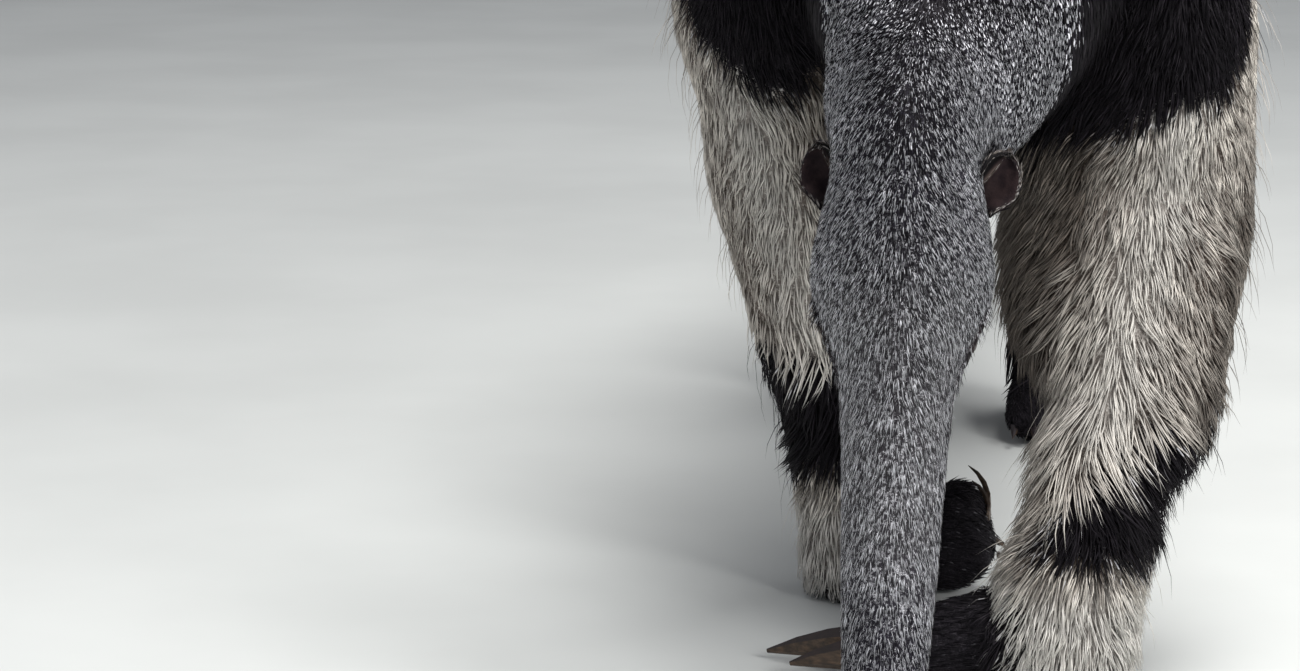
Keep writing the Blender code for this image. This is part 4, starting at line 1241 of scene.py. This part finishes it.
class Wiring:
    # Short calls for the nodes that the finishes share
    def __init__(self, tree):
        self.tree = tree

    def node(self, kind, **values):
        made = self.tree.nodes.new("ShaderNode" + kind)
        for key, value in values.items():
            setattr(made, key, value)
        return made

    def fill(self, node, inputs):
        # Each input takes a number, a colour or what another node gives
        for label, value in inputs.items():
            socket = node.inputs[label]
            if isinstance(value, bpy.types.NodeSocket):
                self.tree.links.new(value, socket)
            elif socket.type == "RGBA":
                socket.default_value = (*value[:3], 1.0)
            else:
                socket.default_value = value
        return node.outputs

    def ramp(self, value, low, high, toLow=0.0, toHigh=1.0):
        made = self.node("MapRange", interpolation_type="SMOOTHSTEP")
        inputs = {"Value": value, "From Min": low, "From Max": high, "To Min": toLow, "To Max": toHigh}
        return self.fill(made, inputs)["Result"]

    def maths(self, operation, a, b=0.0):
        return self.fill(self.node("Math", operation=operation), {0: a, 1: b})[0]

    def product(self, first, *others):
        for other in others:
            first = self.maths("MULTIPLY", first, other)
        return first

    def mix(self, share, a, b):
        return self.fill(self.node("Mix", data_type="RGBA"), {0: share, 6: a, 7: b})[2]

    def noise(self, vector, scale, detail=2.0, roughness=0.5):
        inputs = {"Vector": vector, "Scale": scale, "Detail": detail, "Roughness": roughness}
        return self.fill(self.node("TexNoise"), inputs)["Fac"]

    def split(self, colour):
        return self.fill(self.node("SeparateColor"), {0: colour})

    def attribute(self, name):
        return self.node("Attribute", attribute_name=name).outputs

    def place(self):
        return self.node("TexCoord").outputs["Object"]

    def bump(self, height, strength, distance):
        inputs = {"Height": height, "Strength": strength, "Distance": distance}
        return self.fill(self.node("Bump"), inputs)["Normal"]


def newGroup(name, inputs, outputs):
    # Inputs are colours where no value is given, and else numbers
    group = bpy.data.node_groups.new(name, "ShaderNodeTree")
    for label, value in inputs.items():
        kind = "NodeSocketColor" if value is None else "NodeSocketFloat"
        socket = group.interface.new_socket(label, in_out="INPUT", socket_type=kind)
        if value is not None:
            socket.default_value = value
    for label, kind in outputs.items():
        group.interface.new_socket(label, in_out="OUTPUT", socket_type=kind)
    return group, group.nodes.new("NodeGroupInput"), group.nodes.new("NodeGroupOutput")


def makeCoatGroup(c):
    # Colour of a hair at a share of its length, from what marks its root
    group, source, sink = newGroup(
        "hairColour",
        {"Marks": None, "White": 0.0, "Strand": 0.5, "Random": 0.5, "Clump": 0.5, "Patch": 0.5, "Bands": 1.0},
        {"Color": "NodeSocketColor", "Roughness": "NodeSocketFloat"},
    )
    w = Wiring(group)
    marks, white, strand, chance, clump, patch, bands = source.outputs[:7]
    blackMark, creamMark, brownMark = w.split(marks)[:3]
    # grey and brown hairs are banded dark and pale, each with its bands at places of its own
    along = w.maths("ADD", w.product(strand, bands), w.product(chance, 7.3))
    wave = w.maths("ABSOLUTE", w.maths("SUBTRACT", w.maths("FRACT", along), 0.5))
    greyShare = w.product(
        w.ramp(wave, 0.24, 0.34),
        w.ramp(strand, 0.10, 0.25),
        w.ramp(patch, 0.25, 0.70, 0.75, 1.0),
    )
    grey = w.mix(greyShare, c["greyRoot"], c["greyTip"])
    creamShare = w.product(
        w.ramp(strand, 0.0, 0.55),
        w.ramp(clump, 0.0, 0.9, 0.40, 1.0),
        w.ramp(chance, 0.0, 0.6, 0.80, 1.0),
        w.ramp(patch, 0.30, 0.65, 0.72, 1.0),
    )
    cream = w.mix(creamShare, c["creamRoot"], c["creamTip"])
    brownShare = w.product(
        w.ramp(wave, 0.10, 0.40, 0.45, 1.0),
        w.ramp(chance, 0.2, 0.95, 0.20, 1.0),
        w.ramp(clump, 0.0, 1.0, 0.45, 1.0),
    )
    brown = w.mix(brownShare, c["brownRoot"], c["brownTip"])
    black = w.mix(w.ramp(chance, 0.5, 1.0, 0.0, 0.7), c["black"], c["blackSheen"])
    colour = w.mix(brownMark, w.mix(creamMark, grey, cream), brown)
    colour = w.mix(white, colour, w.mix(w.ramp(strand, 0.0, 0.5, 0.3, 1.0), c["creamRoot"], c["white"]))
    # each hair is either black or not, so that an edge between two colours is ragged
    blackShare = w.maths("SUBTRACT", blackMark, w.ramp(chance, 0.0, 1.0, 0.08, 0.92))
    colour = w.mix(w.ramp(blackShare, -0.07, 0.07), colour, black)
    w.fill(sink, {"Color": colour, "Roughness": w.ramp(chance, 0.0, 1.0, 0.62, 0.46)})
    return group


hairColour = makeCoatGroup(coatColours)


def newFinish(name):
    material = bpy.data.materials.new(name)
    material.use_nodes = True
    return material, Wiring(material.node_tree), material.node_tree.nodes["Principled BSDF"]


def hairColourOf(w, strand, chance, clump, **others):
    marks = w.attribute("marks")
    inputs = {"Marks": marks["Color"], "White": marks["Alpha"], "Patch": w.noise(w.place(), 38.0, 3.0)}
    inputs.update(Strand=strand, Random=chance, Clump=clump, **others)
    return w.fill(w.node("Group", node_tree=hairColour), inputs)


def makeCoatFinish(name):
    material, w, shader = newFinish(name)
    strand = w.attribute("strand")
    colour = hairColourOf(w, *w.split(strand["Color"])[:3], Bands=strand["Alpha"])
    looks = {"Base Color": colour["Color"], "Roughness": colour["Roughness"]}
    w.fill(shader, {**looks, "Specular IOR Level": 0.14})
    return material


def makeSkinFinish():
    material, w, shader = newFinish("skinUnderCoat")
    bare = w.attribute("bare")["Fac"]
    place = w.place()
    fine, hairs = w.noise(place, 900.0), w.noise(place, 420.0, 3.0, 0.7)
    strand = w.ramp(hairs, 0.35, 0.75, 0.0, 0.35)
    colour = hairColourOf(w, strand, w.ramp(fine, 0.3, 0.7), w.ramp(hairs, 0.4, 0.6))["Color"]
    mottle = w.ramp(w.noise(place, 160.0, 3.0), 0.35, 0.65)
    mottled = w.mix(mottle, (0.014, 0.010, 0.011), (0.050, 0.036, 0.036))
    looks = {"Base Color": w.mix(bare, colour, mottled), "Roughness": w.ramp(bare, 0.0, 1.0, 0.75, 0.42)}
    height = w.maths("ADD", hairs, w.product(fine, 0.5))
    w.fill(shader, {**looks, "Specular IOR Level": 0.16, "Normal": w.bump(height, 0.6, 0.0012)})
    return material


def makeEarFinish():
    material, w, shader = newFinish("earSkin")
    place = w.place()
    veins = w.ramp(w.noise(place, 120.0, 4.0, 0.6), 0.35, 0.70)
    flap = w.mix(veins, (0.012, 0.007, 0.009), (0.034, 0.021, 0.022))
    deep, fold = w.split(w.attribute("depth")["Color"])[:2]
    # where the depth attribute is high the ear turns near-black, painted shade in the cavity; the fold is
    # pale
    colour = w.mix(fold, w.mix(deep, flap, (0.0030, 0.0022, 0.0028)), (0.20, 0.155, 0.135))
    pores = w.bump(w.noise(place, 1100.0, 3.0), 0.5, 0.0006)
    w.fill(shader, {"Base Color": colour, "Roughness": 0.70, "Specular IOR Level": 0.12, "Normal": pores})
    return material


def makeEyeFinish():
    material, w, shader = newFinish("wetEye")
    colour = w.mix(w.noise(w.place(), 300.0, 3.0), (0.006, 0.004, 0.003), (0.022, 0.012, 0.008))
    w.fill(shader, {"Base Color": colour, "Roughness": 0.16, "Specular IOR Level": 0.35})
    return material


def makeClawFinish():
    material, w, shader = newFinish("horn")
    place = w.place()
    stretched = w.fill(w.node("Mapping"), {"Vector": place, "Scale": (60.0, 420.0, 420.0)})["Vector"]
    streaks = w.noise(stretched, 1.0, 4.0, 0.6)
    stains = w.noise(place, 90.0, 3.0)
    horn = w.mix(w.ramp(streaks, 0.3, 0.7), (0.032, 0.020, 0.013), (0.105, 0.063, 0.036))
    # the upper side is darker
    facing = w.fill(w.node("SeparateXYZ"), {0: w.node("NewGeometry").outputs["Normal"]})
    horn = w.mix(w.ramp(facing[2], 0.15, 0.75), horn, (0.016, 0.011, 0.013))
    colour = w.mix(w.ramp(stains, 0.45, 0.75, 0.0, 0.7), horn, (0.018, 0.013, 0.011))
    looks = {"Base Color": colour, "Roughness": w.ramp(stains, 0.3, 0.7, 0.32, 0.55)}
    w.fill(shader, {**looks, "Normal": w.bump(streaks, 0.35, 0.0005)})
    return material


def markEarCavityShade(piece, ear):
    # The bottom of the cup and its side next to the head are painted dark, painted shade in the cavity, and
    # the fold beside them is pale
    inverse = np.linalg.inv(ear.matrix)
    local = readPoints(piece) @ inverse[:3, :3].T + inverse[:3, 3]
    high = local[:, 2] / ear.s["height"]
    across = local[:, 0] * ear.side / ear.s["halfWidth"]
    low = smoothStep(0.26, 0.06, high)
    inner = smoothStep(-0.04, -0.22, across - foldPlace(high))
    fold = hump(across, foldPlace(high), 0.075) * smoothStep(0.0, 0.25, high) * smoothStep(0.95, 0.7, high)
    rows = np.zeros((len(local), 4))
    rows[:, 0] = np.clip(low + inner, 0, 1)
    rows[:, 1] = 0.75 * fold
    putAttribute(piece.data, "depth", rows)


def wear(piece, material):
    piece.data.materials.clear()
    piece.data.materials.append(material)


def markBareSkin(piece):
    # Lids, nose tip and lips have no coat
    points = readPoints(piece)
    local = headSpace(points)
    lids = smoothStep(1.45, 1.0, eyeDistance(local, 0.0120, 0.0080))
    bare = np.maximum(lids, smoothStep(0.022, 0.010, local[:, 2])) * onHead(points)
    made = piece.data.attributes.new("bare", "FLOAT", "POINT")
    made.data.foreach_set("value", bare.astype(np.float32))


markBareSkin(skin)
coatFinish = makeCoatFinish("coat")
wear(skin, makeSkinFinish())
for piece in coatPieces.values():
    wear(piece, coatFinish)
earFinish = makeEarFinish()
for name, piece in earPieces.items():
    markEarCavityShade(piece, ears[name])
    wear(piece, earFinish)
eyeFinish, clawFinish = makeEyeFinish(), makeClawFinish()
for name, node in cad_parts.items():
    if "_claw_" in name:
        wear(node, clawFinish)
for piece in eyePieces.values():
    wear(piece, eyeFinish)
report("finishes")

# Floor and light
studioSettings = {
    "floorColour": (0.68, 0.70, 0.69),
    "skyColour": (0.93, 0.95, 1.0),
    "skyStrength": 0.35,
}


def makeFloor(s):
    bm = bmesh.new()
    bmesh.ops.create_grid(bm, x_segments=2, y_segments=2, size=14.0)
    bmesh.ops.translate(bm, vec=(0, 4.0, -0.0005), verts=bm.verts)
    floor = linkObject("floor", bm)
    material, w, shader = newFinish("paleFloor")
    dim = tuple(0.93 * c for c in s["floorColour"])
    colour = w.mix(w.ramp(w.noise(w.place(), 3.0, 4.0), 0.3, 0.7), s["floorColour"], dim)
    w.fill(shader, {"Base Color": colour, "Roughness": 0.85})
    wear(floor, material)


def addLamp(name, place, target, size, power, colour):
    data = bpy.data.lights.new(name, "AREA")
    data.shape = "DISK"
    data.size = size
    data.energy = power
    data.color = colour
    lamp = bpy.data.objects.new(name, data)
    bpy.context.scene.collection.objects.link(lamp)
    lamp.location = place
    lamp.rotation_euler = (Vector(target) - Vector(place)).to_track_quat("-Z", "Y").to_euler()


def lightStudio(s):
    world = bpy.data.worlds.new("studio")
    world.use_nodes = True
    background = world.node_tree.nodes["Background"]
    background.inputs["Color"].default_value = (*s["skyColour"], 1.0)
    background.inputs["Strength"].default_value = s["skyStrength"]
    bpy.context.scene.world = world
    addLamp("overhead", (0.6, -0.7, 3.2), (0, -0.3, 0.2), 2.0, 112.0, (1.0, 0.985, 0.96))
    addLamp("front", (2.3, -3.0, 1.9), (0, -0.6, 0.3), 1.2, 74.0, (1.0, 0.99, 0.97))
    bpy.context.scene.view_settings.view_transform = "Standard"


makeFloor(studioSettings)
lightStudio(studioSettings)
report("floor and light")

# What stands for what
limbNodes = ("upper_arm", "forearm", "hand", "thigh", "shank", "foot")
limbs = [f"{part}_{side}" for part in limbNodes for side in ("left", "right")]
fleshNodes = ["head", "neck", "torso", "tail", *limbs]
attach(skin, "root")
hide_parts(*fleshNodes)
for name, piece in coatPieces.items():
    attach(piece, "root")
for name, node in (("earLeft", "ear_left"), ("earRight", "ear_right")):
    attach(earPieces[name], "root")
    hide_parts(node)
for name, node in (("eyeLeft", "eye_left"), ("eyeRight", "eye_right")):
    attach(eyePieces[name], "root")
    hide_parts(node)

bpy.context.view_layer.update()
report("finished")
